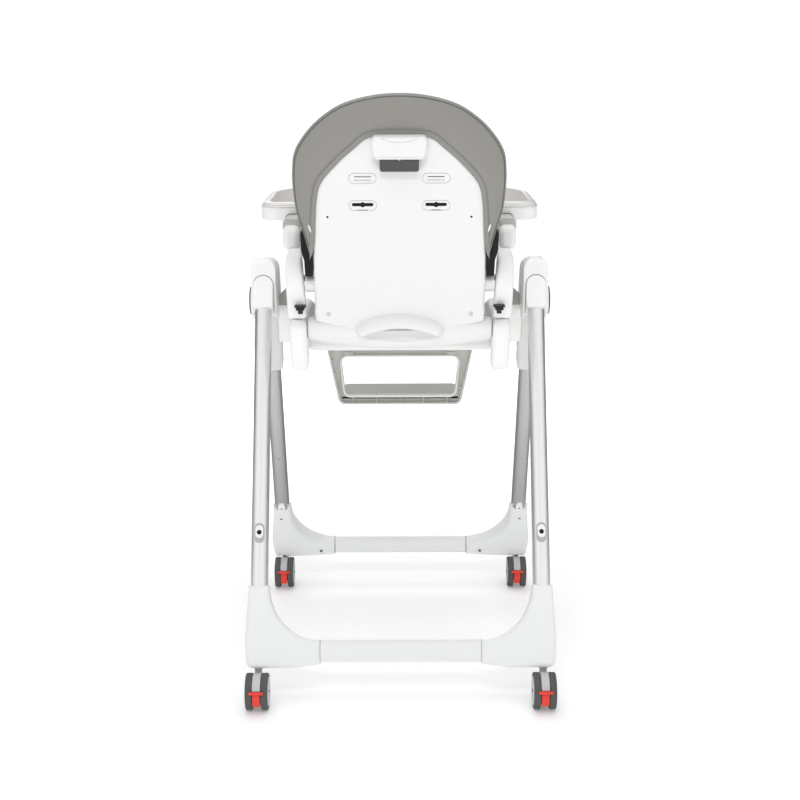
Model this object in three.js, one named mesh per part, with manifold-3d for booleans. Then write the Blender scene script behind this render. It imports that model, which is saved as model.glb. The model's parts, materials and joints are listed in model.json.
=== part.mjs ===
// Folding baby high chair on casters: an A-frame of two leg pairs, a seat that slides along the front
// legs, a reclining backrest, a hinged leg rest with a sliding footrest, and a tray with a lift-off insert.
// Millimetres, +Z up. The child looks towards -Y, and +X is the child's left. The floor is z = 0.
import * as THREE from 'three';
import { mergeGeometries, mergeVertices } from 'three/addons/utils/BufferGeometryUtils.js';
import Module from 'manifold-3d';

const wasm = await Module();
wasm.setup();

// ---------------------------------------------------------------- driving dimensions
const GAP = 0.3;             // running gap between neighbouring pieces
const WALL = 3;              // wall of the moulded plastic parts

const TRACK = 259;           // half the distance between the left and right legs
const LEG_TILT = 23.5;       // lean of each leg from the vertical, degrees
const HINGE_Y = -22;         // fold hinge, level with the round buttons
const HINGE_Z = 692;
const LEG_OFFSET = 46;       // from the hinge axis to the middle of a leg tube, square to the tube
const TUBE_WIDTH = 31;       // leg tube across the chair
const TUBE_DEPTH = 38;       // leg tube fore and aft
const TUBE_WALL = 1.6;
const BAR_HEIGHT = 34;       // crossbar section
const BAR_DEPTH = 27;
const BAR_LEVEL = 92;        // height of the crossbars' middle
const SOCKET = 36;           // how far a crossbar goes into a foot

const FOOT_TOP = 201;        // heights of the moulded foot
const FOOT_BOTTOM = 73;
const FOOT_INNER = 146;      // where the foot hands over to the crossbar
const FOOT_OUTER = 282.5;
const FOOT_THICK = 46;
const TUBE_END = 120;        // height where the leg tubes end, inside the feet

const WHEEL_RADIUS = 33;     // across the flats of the 24-sided tread
const WHEEL_SIDES = 24;
const WHEEL_WIDTH = 14;
const FORK_WIDTH = 15;       // silver body between the twin wheels
const WHEEL_TRAIL = 27;      // from the swivel axis back to the axle
const AXLE_RADIUS = 3;
const STEM_RADIUS = 6.9;
const STEM_DEPTH = 20;       // how far the stem goes into the foot

const HOUSING_WIDTH = 46.5;  // moulded cap over the fold hinge
const KNUCKLE_WIDTH = 37;
const PIN_RADIUS = 6;
const BUTTON_RADIUS = 27.5;
const BUTTON_PRESS = 3;

const CARRIAGE_TOP = 42;     // height carriage, measured down the front leg from the hinge
const CARRIAGE_BOTTOM = 196;

const RAIL_INNER = 170;      // side rails of the seat
const RAIL_OUTER = 202;
const SEAT_FRONT = -204;
const SEAT_REAR = 88;
const RAIL_TOP = 690;
const RAIL_HEIGHT = 78;
const EAR_DROP = 23;         // how far the rails' rear ends hang below the seat
const SEAT_BOTTOM = RAIL_TOP - RAIL_HEIGHT;
const EAR_BOTTOM = SEAT_BOTTOM - EAR_DROP;
const SEAT_FLOOR = 5;        // thickness of the seat shell's floor
const CUSHION_THICK = 38;
const CUSHION_TOP = SEAT_BOTTOM + SEAT_FLOOR + CUSHION_THICK;

const RECLINE_Y = 133;       // backrest pivot
const RECLINE_Z = 664;
const RECLINE_LEAN = 12;     // backrest lean at rest, degrees
const RECLINE_RADIUS = 6;    // steel axle
const SHELL_BACK = 20;       // rear face of the shell, behind the pivot
const SHELL_RIM = 24;        // depth of the shell's rim
const SHELL_WIDTH = 154;     // half width of the shell's straight sides
const SHELL_TOP = 434;       // heights along the shell, from the pivot
const HEM_TOP = 369;         // upper edge of the bare panel, where the cover's hem ends
const LEVER_BOTTOM = 299;
const LEVER_HOUSING = 322;   // lower edge of the lever's housing
const UPPER_SLOT = 287;      // strap slots
const LOWER_SLOT = 241;
const SLOT_X = 64;
const PAD_DEPTH = 36;        // back cushion
const BARREL_RADIUS = 21;    // rolled bottom of the shell at its ends
const BARREL_DROP = 18;      // how much lower the roll hangs in the middle
const BOSS_FORWARD = 34;     // lock boss, in front of the pivot
const BOSS_UP = 86;          // lock boss, above the pivot
const BOSS_RADIUS = 14;
const LOCK_RADIUS = 6;
const LOCK_STEP = 12;        // degrees between recline stops
const LOCK_STOPS = 4;
const LEVER_TRAVEL = 10;
const PIN_TRAVEL = 9;

const ARM_TOP = 844.7;
const ARM_BOTTOM = 804;
const ARM_INNER = 187;
const ARM_OUTER = 217;
const ARM_REAR = 62;
const ARM_FRONT = -215;
const PANEL_INNER = 173;     // arm panels, between the rails and the armrests
const PANEL_OUTER = 203;
const ARM_LEAN = 0.06;       // the arm panels lean outwards a little

const TRAY_HALF = 269;
const TRAY_REAR = -38;
const TRAY_FRONT = -363.3;
const TRAY_THICK = 24;
const BELLY_HALF = 165;      // cut-out for the child
const BELLY_DEPTH = 152;

const LEGREST_Y = -222;      // leg rest hinge
const LEGREST_Z = 618;
const LEGREST_HALF = 150;
const FOOTREST_Y = -256;     // front face of the footrest frame
const FOOTREST_DEPTH = 18;
const FOOTREST_DROP = 62;    // from the leg rest hinge down to the footrest
const FOOTREST_HEIGHT = 122;
const FOOTREST_TOP = LEGREST_Z - FOOTREST_DROP;
const FOOTREST_BOTTOM = FOOTREST_TOP - FOOTREST_HEIGHT;
const FOOTREST_HALF = 154.5; // half width at the top; it narrows downwards
const PLATFORM_REACH = 84;

const rad = THREE.MathUtils.degToRad;
const SIDES = [['left', 1], ['right', -1]];

// ---------------------------------------------------------------- materials
const plastic = (color, roughness = 0.45) => new THREE.MeshStandardMaterial({ color, roughness });
const metal = (color, roughness) => new THREE.MeshStandardMaterial({ color, roughness, metalness: 1 });
const material = {
  white: () => plastic(0xf3f3f1),
  foot: () => plastic(0xe8eae8),
  bar: () => new THREE.MeshStandardMaterial({ color: 0xe4e6e4, roughness: 0.35, metalness: 0.1 }),
  tube: () => metal(0xc9cccd, 0.35),
  steel: () => metal(0xb8babc, 0.3),
  tread: () => plastic(0x5c5c5c, 0.7),
  red: () => plastic(0xee5040, 0.4),
  dark: () => plastic(0x484848, 0.5),
  grey: () => plastic(0xc6c4c0, 0.5),
  fabric: () => plastic(0x8f8f8a, 0.8),
  clear: () => plastic(0xf0f2f2, 0.2),
};

// ---------------------------------------------------------------- solids
// A closed geometry as a manifold solid, for cuts and joins.
function solid(geometry) {
  const bare = geometry.clone();
  bare.deleteAttribute('normal');
  bare.deleteAttribute('uv');
  const merged = mergeVertices(bare, 1e-4);
  const vertProperties = new Float32Array(merged.attributes.position.array);
  const triVerts = new Uint32Array(merged.index.array);
  return new wasm.Manifold(new wasm.Mesh({ numProp: 3, vertProperties, triVerts }));
}

function geometryOf(manifold) {
  const mesh = manifold.getMesh();
  const geometry = new THREE.BufferGeometry();
  geometry.setAttribute('position', new THREE.BufferAttribute(new Float32Array(mesh.vertProperties), 3));
  geometry.setIndex(new THREE.BufferAttribute(new Uint32Array(mesh.triVerts), 1));
  geometry.computeVertexNormals();
  return geometry;
}

const join = (...geometries) => geometryOf(geometries.map(solid).reduce((sum, next) => sum.add(next)));
const cut = (body, ...tools) => geometryOf(
  tools.map(solid).reduce((rest, tool) => rest.subtract(tool), solid(body)));
const common = (a, b) => geometryOf(solid(a).intersect(solid(b)));

const SHORTEST_EDGE = 0.5;

// A polygon whose corners are [u, v, radius]; each rounded corner becomes an arc, held within its edges.
function rounded(corners, segments = 2) {
  const points = [];
  corners.forEach(([u, v, radius = 0], i) => {
    const here = new THREE.Vector2(u, v);
    const back = new THREE.Vector2(...corners[(i + corners.length - 1) % corners.length]).sub(here);
    const on = new THREE.Vector2(...corners[(i + 1) % corners.length]).sub(here);
    const room = 0.495 * Math.min(back.length(), on.length());
    back.normalize();
    on.normalize();
    const half = Math.acos(THREE.MathUtils.clamp(back.dot(on), -1, 1)) / 2;
    const reach = Math.min(radius / Math.tan(half), room);
    if (reach < 0.05) {
      points.push(here);
      return;
    }
    const centre = back.clone().add(on).normalize().multiplyScalar(reach / Math.cos(half)).add(here);
    const from = back.multiplyScalar(reach).add(here).sub(centre);
    const to = on.multiplyScalar(reach).add(here).sub(centre);
    const sweep = Math.atan2(from.cross(to), from.dot(to));
    for (let k = 0; k <= segments; k += 1) {
      points.push(from.clone().rotateAround(new THREE.Vector2(), (sweep * k) / segments).add(centre));
    }
  });
  return points.filter((p, i) => p.distanceTo(points[(i + 1) % points.length]) > SHORTEST_EDGE);
}

const oval = (width, height, u = 0, v = 0, segments = 3) => {
  const r = Math.min(width, height) / 2;
  const [w, h] = [width / 2, height / 2];
  return rounded([[u - w, v - h, r], [u + w, v - h, r], [u + w, v + h, r], [u - w, v + h, r]], segments);
};

const circle = (radius, u = 0, v = 0, sides = 16) => Array.from({ length: sides }, (_, i) => {
  const turn = (2 * Math.PI * (i + 0.5)) / sides;
  return new THREE.Vector2(u + radius * Math.cos(turn), v + radius * Math.sin(turn));
});

// Extrusions of an outline with holes: along X the outline is (y, z), along Y it is (x, z), along Z (x, y).
function extrude(outline, depth, holes, bevel) {
  const shape = new THREE.Shape(outline);
  holes.forEach((hole) => shape.holes.push(new THREE.Path(hole)));
  const chamfer = bevel > 0
    ? { bevelEnabled: true, bevelSize: bevel, bevelThickness: bevel, bevelOffset: -bevel, bevelSegments: 1 }
    : { bevelEnabled: false };
  const geometry = new THREE.ExtrudeGeometry(shape, { depth: depth - 2 * bevel, steps: 1, ...chamfer });
  return geometry.translate(0, 0, bevel);
}

const TO_X = new THREE.Matrix4().set(0, 0, 1, 0, 1, 0, 0, 0, 0, 1, 0, 0, 0, 0, 0, 1);
const plateX = (outline, x0, x1, holes = [], bevel = 0) => extrude(outline, x1 - x0, holes, bevel)
  .applyMatrix4(TO_X).translate(x0, 0, 0);
const plateY = (outline, y0, y1, holes = [], bevel = 0) => extrude(outline, y1 - y0, holes, bevel)
  .rotateX(Math.PI / 2).translate(0, y1, 0);
const plateZ = (outline, z0, z1, holes = [], bevel = 0) => extrude(outline, z1 - z0, holes, bevel)
  .translate(0, 0, z0);
const block = (x0, x1, y0, y1, z0, z1) => new THREE.BoxGeometry(x1 - x0, y1 - y0, z1 - z0)
  .translate((x0 + x1) / 2, (y0 + y1) / 2, (z0 + z1) / 2);
const rod = (radius, x0, x1, y, z, sides = 14) => plateX(circle(radius, y, z, sides), x0, x1);
const mirrored = (outline) => [...outline, ...outline.slice().reverse().map(([u, v, r]) => [-u, v, r])];

// Turned about Z from a profile of [radius, height].
const turned = (profile, sides) => new THREE.LatheGeometry(profile.map((p) => new THREE.Vector2(...p)), sides);

// The same solid on the other side of the chair.
function mirror(geometry) {
  const flipped = geometry.clone().scale(-1, 1, 1);
  if (!flipped.index) flipped.setIndex([...Array(flipped.attributes.position.count).keys()]);
  const index = flipped.index.array;
  for (let i = 0; i < index.length; i += 3) [index[i], index[i + 1]] = [index[i + 1], index[i]];
  flipped.computeVertexNormals();
  return flipped;
}

const chair = new THREE.Group();

function add(parent, name, geometry, finish) {
  const mesh = new THREE.Mesh(geometry, finish());
  mesh.name = name;
  parent.add(mesh);
  return mesh;
}

function addPair(parent, name, geometry, finish) {
  add(parent, `${name}_left`, geometry, finish);
  add(parent, `${name}_right`, mirror(geometry), finish);
}

// ---------------------------------------------------------------- leg frames
// Each frame's group sits on the hinge axis and leans with its legs, so local -Z runs down the tubes.
// `fore` is -1 for the front legs and +1 for the rear legs.
function frameGroup(fore) {
  const group = new THREE.Group();
  group.position.set(0, HINGE_Y, HINGE_Z);
  group.rotation.x = fore * rad(LEG_TILT);
  group.updateMatrixWorld();
  chair.add(group);
  return group;
}

const frontFrame = frameGroup(-1);
const rearFrame = frameGroup(1);
const toLocal = (group, geometry) => geometry.clone().applyMatrix4(group.matrixWorld.clone().invert());

const TILT_COS = Math.cos(rad(LEG_TILT));
const TILT_SIN = Math.sin(rad(LEG_TILT));
// Local height on the tube's middle line of a point at a height above the floor, and its place fore and aft.
const down = (height) => (height - HINGE_Z - LEG_OFFSET * TILT_SIN) / TILT_COS;
const legY = (fore, height) => HINGE_Y + fore * (LEG_OFFSET * TILT_COS - down(height) * TILT_SIN);

const TUBE_TOP = 20;
const SLEEVE_LENGTH = 31;    // plastic sleeve below the hinge, along the tube
const FOOT_WALL = 4;

function legTube(fore) {
  const outer = oval(TUBE_WIDTH, TUBE_DEPTH, TRACK, fore * LEG_OFFSET);
  const inner = oval(TUBE_WIDTH - 2 * TUBE_WALL, TUBE_DEPTH - 2 * TUBE_WALL, TRACK, fore * LEG_OFFSET);
  return plateZ(outer, down(TUBE_END), TUBE_TOP, [inner]);
}

function crossbar(fore) {
  const centre = [fore * LEG_OFFSET, down(BAR_LEVEL)];
  const outer = oval(BAR_DEPTH, BAR_HEIGHT, ...centre);
  const inner = oval(BAR_DEPTH - 2 * TUBE_WALL, BAR_HEIGHT - 2 * TUBE_WALL, ...centre);
  return plateX(outer, -FOOT_INNER - SOCKET, FOOT_INNER + SOCKET, [inner]);
}

// Moulded corner foot: an L in the plane of the legs, hollowed for the tube, the crossbar and the stem.
function foot(fore, group) {
  const sleeveInner = TRACK - TUBE_WIDTH / 2 - FOOT_WALL - 0.5;
  const fillet = [];
  const steps = 6;
  for (let i = 0; i <= steps; i += 1) {
    const turn = (Math.PI / 2) * (i / steps);
    const x = FOOT_INNER + (sleeveInner - FOOT_INNER) * Math.cos(turn);
    const height = FOOT_TOP - (FOOT_TOP - BAR_LEVEL - BAR_HEIGHT / 2 - 1) * Math.sin(turn);
    fillet.push([x, down(height), 0]);
  }
  const outline = rounded([
    ...fillet,
    [FOOT_INNER, down(BAR_LEVEL - BAR_HEIGHT / 2 - 1), 0],
    [FOOT_INNER + 50, down(FOOT_BOTTOM - 3), 0],
    [FOOT_OUTER - 4, down(FOOT_BOTTOM - 3), 0],
    [FOOT_OUTER, down(FOOT_BOTTOM + 38), 20],
    [TRACK + TUBE_WIDTH / 2 + FOOT_WALL, down(FOOT_TOP), 0],
  ]);
  const y = fore * LEG_OFFSET;
  const body = plateY(outline, y - FOOT_THICK / 2, y + FOOT_THICK / 2, [], 5);
  const floor = toLocal(group, block(0, 2 * TRACK, -TRACK * 2, TRACK * 2, 0, FOOT_BOTTOM));
  const tubeHole = plateZ(oval(TUBE_WIDTH + 2 * GAP, TUBE_DEPTH + 2 * GAP, TRACK, y),
    down(TUBE_END) - GAP, down(FOOT_TOP) + 20);
  const barHole = plateX(oval(BAR_DEPTH + 2 * GAP, BAR_HEIGHT + 2 * GAP, y, down(BAR_LEVEL)),
    FOOT_INNER - 20, FOOT_INNER + SOCKET + GAP);
  const stem = plateZ(circle(STEM_RADIUS + GAP, TRACK, legY(fore, FOOT_BOTTOM)),
    FOOT_BOTTOM - 10, FOOT_BOTTOM + STEM_DEPTH + GAP);
  return cut(body, floor, tubeHole, barHole, toLocal(group, stem));
}

for (const [fore, group, name] of [[-1, frontFrame, 'front'], [1, rearFrame, 'rear']]) {
  addPair(group, `${name}_leg`, legTube(fore), material.tube);
  addPair(group, `${name}_foot`, foot(fore, group), material.foot);
  add(group, `${name}_crossbar`, crossbar(fore), material.bar);
}

// Oval plate with a dark plug on the back of each rear leg, where a folded chair's catch would clip.
const PLATE_HEIGHT = 291;
const PLATE_THICK = 2.5;
const plateFace = LEG_OFFSET + TUBE_DEPTH / 2 + GAP;
const legPlate = plateY(oval(18, 36, TRACK, down(PLATE_HEIGHT), 3), plateFace, plateFace + PLATE_THICK,
  [circle(4.2, TRACK, down(PLATE_HEIGHT), 12)]);
addPair(rearFrame, 'rear_leg_plate', legPlate, material.grey);

// ---------------------------------------------------------------- fold hinge
const CHEEK_OUTER = TRACK + HOUSING_WIDTH / 2;
const CHEEK_INNER = TRACK - HOUSING_WIDTH / 2;
const KNUCKLE_DISC = 21;
const SLEEVE_FACE = TUBE_DEPTH / 2 + FOOT_WALL - 0.5;   // from the tube's middle to the sleeve's face
const RUN = 1;                                         // side play of the knuckle in its housing
const DOME_TOP = 88;                                   // height of the cap above the hinge

// Points of a frame's own (y, z) seen from the world's, both measured from the hinge.
const leaned = (fore, y, z, r = 0) => [
  y * TILT_COS - fore * z * TILT_SIN, fore * y * TILT_SIN + z * TILT_COS, r];

function hingeHousing() {
  const silhouette = rounded([
    leaned(-1, -LEG_OFFSET - SLEEVE_FACE, -SLEEVE_LENGTH, 5),
    leaned(-1, -LEG_OFFSET - SLEEVE_FACE, 62, 34),
    [53, DOME_TOP, 40],
    [53, 50, 8],
    [35, -34, 30],
    [-16, -34, 14],
    leaned(-1, -LEG_OFFSET + SLEEVE_FACE, -SLEEVE_LENGTH, 3),
  ], 4).map((p) => p.add(new THREE.Vector2(HINGE_Y, HINGE_Z)));
  const arch = rounded([
    [CHEEK_INNER, HINGE_Z - 60, 0],
    [CHEEK_OUTER, HINGE_Z - 60, 0],
    [CHEEK_OUTER, HINGE_Z + DOME_TOP, HOUSING_WIDTH / 2 - 0.1],
    [CHEEK_INNER, HINGE_Z + DOME_TOP, HOUSING_WIDTH / 2 - 0.1],
  ], 4);
  const cap = common(plateX(silhouette, CHEEK_INNER, CHEEK_OUTER),
    plateY(arch, HINGE_Y - 150, HINGE_Y + 150));
  const ring = plateX(circle(BUTTON_RADIUS + 3, HINGE_Y, HINGE_Z, 20), CHEEK_OUTER - 1, CHEEK_OUTER + 4,
    [circle(BUTTON_RADIUS + 0.6, HINGE_Y, HINGE_Z, 20)]);
  // The room the rear knuckle needs, from its rest place until the frame is folded.
  const slotWidth = [TRACK - KNUCKLE_WIDTH / 2 - RUN, TRACK + KNUCKLE_WIDTH / 2 + RUN];
  const roof = SLEEVE_LENGTH + 1.5;
  const room = [
    leaned(-1, -1, -110), leaned(-1, -1, 18), leaned(1, 18, roof), leaned(1, 130, roof), [130, -120, 0],
  ].map(([u, v]) => new THREE.Vector2(u + HINGE_Y, v + HINGE_Z));
  const disc = rod(KNUCKLE_DISC + 1.5, ...slotWidth, HINGE_Y, HINGE_Z, 24);
  const bore = rod(PIN_RADIUS + GAP, CHEEK_INNER - 5, CHEEK_OUTER + 5, HINGE_Y, HINGE_Z);
  const tubeHole = plateZ(oval(TUBE_WIDTH + 2 * GAP, TUBE_DEPTH + 2 * GAP, TRACK, -LEG_OFFSET),
    -SLEEVE_LENGTH - 60, TUBE_TOP + GAP).applyMatrix4(frontFrame.matrixWorld);
  return cut(join(cap, ring), plateX(room, ...slotWidth), disc, bore, tubeHole);
}

function hingeKnuckle() {
  const [x0, x1] = [TRACK - KNUCKLE_WIDTH / 2, TRACK + KNUCKLE_WIDTH / 2];
  const inner = LEG_OFFSET - SLEEVE_FACE;
  const arch = rounded([
    [x0, -SLEEVE_LENGTH, 0], [x1, -SLEEVE_LENGTH, 0],
    [x1, SLEEVE_LENGTH, KNUCKLE_WIDTH / 2 - 0.1], [x0, SLEEVE_LENGTH, KNUCKLE_WIDTH / 2 - 0.1],
  ], 4);
  const sleeve = plateY(arch, inner, LEG_OFFSET + SLEEVE_FACE);
  const web = block(x0, x1, 0, inner + 1, -KNUCKLE_DISC * 0.9, KNUCKLE_DISC * 0.6);
  const disc = rod(KNUCKLE_DISC, x0, x1, 0, 0, 20);
  const bore = rod(PIN_RADIUS + GAP, x0 - 5, x1 + 5, 0, 0);
  const tubeHole = plateZ(oval(TUBE_WIDTH + 2 * GAP, TUBE_DEPTH + 2 * GAP, TRACK, LEG_OFFSET),
    -SLEEVE_LENGTH - 20, TUBE_TOP + GAP);
  return cut(join(sleeve, web, disc), bore, tubeHole);
}

const STEM_OF_BUTTON = 4;
const BUTTON_FACE = CHEEK_OUTER + 7.3;
const STEM_REACH = 12;

function hingePin() {
  const shaft = rod(PIN_RADIUS, CHEEK_INNER - 1, CHEEK_OUTER - GAP, HINGE_Y, HINGE_Z);
  const head = rod(PIN_RADIUS + 3, CHEEK_INNER - 3, CHEEK_INNER - GAP, HINGE_Y, HINGE_Z);
  const bore = rod(STEM_OF_BUTTON + GAP, CHEEK_OUTER - STEM_REACH - BUTTON_PRESS - GAP, CHEEK_OUTER + 5,
    HINGE_Y, HINGE_Z, 12);
  return cut(join(shaft, head), bore);
}

function foldButton() {
  const disc = plateX(circle(BUTTON_RADIUS, HINGE_Y, HINGE_Z, 20), BUTTON_FACE - 3.6, BUTTON_FACE, [], 1);
  const stem = rod(STEM_OF_BUTTON, CHEEK_OUTER - STEM_REACH, BUTTON_FACE - 3, HINGE_Y, HINGE_Z, 12);
  return join(disc, stem);
}

addPair(chair, 'hinge_housing', hingeHousing(), material.white);
addPair(rearFrame, 'hinge_knuckle', hingeKnuckle(), material.white);
addPair(chair, 'hinge_pin', hingePin(), material.steel);
addPair(chair, 'fold_button', foldButton(), material.dark);

// ---------------------------------------------------------------- casters
const FLAT_TO_CORNER = 1 / Math.cos(Math.PI / WHEEL_SIDES);

// Drawn about the axle: y is fore and aft, z is up, x across the chair.
function casterBody() {
  const upper = [];
  const arcSteps = 8;
  for (let i = 0; i <= arcSteps; i += 1) {
    const turn = (Math.PI * 0.74 * i) / arcSteps;
    upper.push([WHEEL_RADIUS * Math.cos(turn), WHEEL_RADIUS * Math.sin(turn) + 0.5, 0]);
  }
  const plate = plateX(rounded([
    ...upper,
    [-WHEEL_TRAIL - 8.5, WHEEL_RADIUS * 0.6, 5],
    [-WHEEL_TRAIL - 4, 2, 6],
    [-13, -8, 4],
    [-6, -10, 4],
    [6, -10, 4],
    [11.5, -2, 3],
  ]), -FORK_WIDTH / 2, FORK_WIDTH / 2);
  const stemTop = FOOT_BOTTOM - WHEEL_RADIUS + STEM_DEPTH;
  const stem = plateZ(circle(STEM_RADIUS, 0, -WHEEL_TRAIL, 16), 14, stemTop);
  return cut(join(plate, stem), rod(AXLE_RADIUS + GAP, -20, 20, 0, 0, 12));
}

// Twin wheels and their axle in one turning: [radius, half width] pairs from the axis out.
function casterWheels() {
  const rim = WHEEL_RADIUS * FLAT_TO_CORNER;
  const inner = FORK_WIDTH / 2 + GAP;
  const outer = inner + WHEEL_WIDTH;
  const half = [
    [0, outer], [rim - 1.6, outer], [rim, outer - 1.6], [rim, inner],
    [AXLE_RADIUS, inner],
  ];
  const profile = [...half.map(([r, w]) => [r, -w]), ...half.slice().reverse()];
  return turned(profile, WHEEL_SIDES).rotateY(Math.PI / WHEEL_SIDES).rotateZ(Math.PI / 2);
}

// Brake lever: a sector that turns about the axle between the wheels, with a crossbar to step on.
function brakeLever() {
  const [near, far] = [12, WHEEL_RADIUS - 0.8];
  const arc = (radius, from, to, steps) => Array.from({ length: steps + 1 }, (_, i) => {
    const turn = rad(from + ((to - from) * i) / steps);
    return [radius * Math.cos(turn), radius * Math.sin(turn), 0];
  });
  const sector = plateX(rounded([...arc(near, -74, -12, 2), ...arc(far, -8, -70, 4)]),
    -FORK_WIDTH / 2 + GAP, FORK_WIDTH / 2 - GAP);
  const tread = plateX(rounded([[28, -11, 1], [39, -11, 2], [39, -5.5, 2], [28, -5.5, 1]], 2),
    -FORK_WIDTH / 2 + GAP, FORK_WIDTH / 2 - GAP);
  const bar = plateX(rounded([[34.2, -11, 1], [39, -11, 2], [39, -5.5, 2], [34.2, -5.5, 1]], 2), -13, 13);
  return join(sector, tread, bar);
}

for (const [fore, end] of [[-1, 'front'], [1, 'rear']]) {
  SIDES.forEach(([side, sign]) => {
    const caster = new THREE.Group();
    caster.position.set(sign * TRACK, legY(fore, FOOT_BOTTOM) + WHEEL_TRAIL, WHEEL_RADIUS);
    chair.add(caster);
    add(caster, `caster_body_${end}_${side}`, casterBody(), material.steel);
    add(caster, `caster_wheels_${end}_${side}`, casterWheels(), material.tread);
    add(caster, `brake_lever_${end}_${side}`, brakeLever(), material.red);
  });
}

// ---------------------------------------------------------------- height carriages
const CARRIAGE_IN = TRACK - 21.5;
const CARRIAGE_OUT = TRACK + 25;
const SLEEVE_HALF = 24;      // half the sleeve's depth, fore and aft
const POCKET_FLOOR = CARRIAGE_OUT - 6.7;
const HEIGHT_BUTTON = { width: 22, height: 46, down: 122, proud: 2.5 };

function heightCarriage() {
  const y = -LEG_OFFSET;
  const sleeve = plateZ(rounded([
    [CARRIAGE_IN, y - SLEEVE_HALF, 8], [CARRIAGE_OUT, y - SLEEVE_HALF, 12],
    [CARRIAGE_OUT, y + SLEEVE_HALF, 12], [CARRIAGE_IN, y + SLEEVE_HALF, 8],
  ]), -CARRIAGE_BOTTOM, -CARRIAGE_TOP).applyMatrix4(frontFrame.matrixWorld);
  const [low, shoulder, high] = [SEAT_BOTTOM - 15, SEAT_BOTTOM + 38, SEAT_BOTTOM + 55];
  const onLeg = (height) => legY(-1, height);
  const arm = plateX(rounded([
    [onLeg(low) - 37, low, 10], [onLeg(low) + 29, low, 10], [onLeg(shoulder) + 28, shoulder, 10],
    [onLeg(high) + 9, high, 8], [onLeg(high) - 17, high, 10],
  ]), RAIL_OUTER + GAP, CARRIAGE_IN + 3);
  const [webLow, webHigh] = [RAIL_TOP - 60, RAIL_TOP + 26];
  const gusset = plateX(rounded([
    [onLeg(webLow) - 19, webLow, 6], [onLeg(webLow) + 49, webLow, 6], [onLeg(webHigh) + 28, webHigh, 8],
    [onLeg(webHigh) - 4, webHigh, 8],
  ]), RAIL_OUTER + 5, RAIL_OUTER + 11);
  const bore = plateZ(oval(TUBE_WIDTH + 2 * GAP, TUBE_DEPTH + 2 * GAP, TRACK, y), -CARRIAGE_BOTTOM - 20,
    -CARRIAGE_TOP + 20).applyMatrix4(frontFrame.matrixWorld);
  const pocket = plateX(oval(HEIGHT_BUTTON.width, HEIGHT_BUTTON.height, y, -HEIGHT_BUTTON.down),
    POCKET_FLOOR, CARRIAGE_OUT + 5)
    .applyMatrix4(frontFrame.matrixWorld);
  return cut(join(sleeve, arm, gusset), bore, pocket);
}

const heightButton = plateX(oval(HEIGHT_BUTTON.width - 2 * GAP, HEIGHT_BUTTON.height - 2 * GAP, -LEG_OFFSET,
  -HEIGHT_BUTTON.down), POCKET_FLOOR + GAP + BUTTON_PRESS, CARRIAGE_OUT + HEIGHT_BUTTON.proud);
addPair(chair, 'height_carriage', heightCarriage(), material.white);
addPair(frontFrame, 'height_button', heightButton, material.grey);

// ---------------------------------------------------------------- seat
const LUG_X = 96;
const LUG_THICK = 9;
const ROD_RADIUS = 5;
const EYE = 9;               // outer radius of the ears around the leg rest's rod

function seatShell() {
  const half = RAIL_INNER - GAP;
  const outer = plateX(rounded([
    [SEAT_FRONT, SEAT_BOTTOM, 18], [SEAT_REAR, SEAT_BOTTOM, 12], [SEAT_REAR, CUSHION_TOP + 13, 3],
    [SEAT_FRONT, CUSHION_TOP - 7, 6],
  ]), -half, half);
  const inner = plateX(rounded([
    [SEAT_FRONT + WALL, SEAT_BOTTOM + SEAT_FLOOR, 14], [SEAT_REAR - WALL, SEAT_BOTTOM + SEAT_FLOOR, 8],
    [SEAT_REAR - WALL, CUSHION_TOP + 45, 0], [SEAT_FRONT + WALL, CUSHION_TOP + 45, 0],
  ]), -half + WALL, half - WALL);
  const lug = plateX(rounded([
    [LEGREST_Y - EYE, LEGREST_Z - EYE, 8.8], [SEAT_FRONT + 2, LEGREST_Z - EYE, 0],
    [SEAT_FRONT + 2, LEGREST_Z + EYE, 0], [LEGREST_Y - EYE, LEGREST_Z + EYE, 8.8],
  ], 5), LUG_X, LUG_X + LUG_THICK, [circle(ROD_RADIUS + GAP, LEGREST_Y, LEGREST_Z, 14)]);
  return join(cut(outer, inner), lug, mirror(lug));
}

// Side rail: runs under the arm and ends behind in the rounded ear that carries the backrest.
function sideRail() {
  const body = plateX(rounded([
    [SEAT_FRONT + 8, SEAT_BOTTOM, 14], [RECLINE_Y - 35, SEAT_BOTTOM, 12], [RECLINE_Y - 21, EAR_BOTTOM, 12],
    [RECLINE_Y + 17, EAR_BOTTOM, 16], [RECLINE_Y + 27, EAR_BOTTOM + 51, 60],
    [RECLINE_Y + 26, RAIL_TOP - 2, 18], [RECLINE_Y - 33, RAIL_TOP, 8], [-60, RAIL_TOP, 30],
    [SEAT_FRONT + 8, RAIL_TOP - 30, 14],
  ]), RAIL_INNER, RAIL_OUTER, [], 3);
  const bore = rod(RECLINE_RADIUS + GAP, RAIL_INNER - 5, RAIL_OUTER - 2, RECLINE_Y, RECLINE_Z);
  return cut(body, bore);
}

// Arm panel: stands on the rail. The recline pins run in an arc track on its inner face, which has a
// notch on its outer side at each stop.
const bossRadius = Math.hypot(BOSS_FORWARD, BOSS_UP);
const bossRest = RECLINE_LEAN - THREE.MathUtils.radToDeg(Math.atan2(BOSS_FORWARD, BOSS_UP));
const trackPoint = (radius, degrees) => [
  RECLINE_Y + radius * Math.sin(rad(degrees)), RECLINE_Z + radius * Math.cos(rad(degrees))];
const TRACK_HALF = LOCK_RADIUS + 0.6;
const TRACK_DEPTH = 12;
const NOTCH_DEPTH = 2.5;

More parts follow.
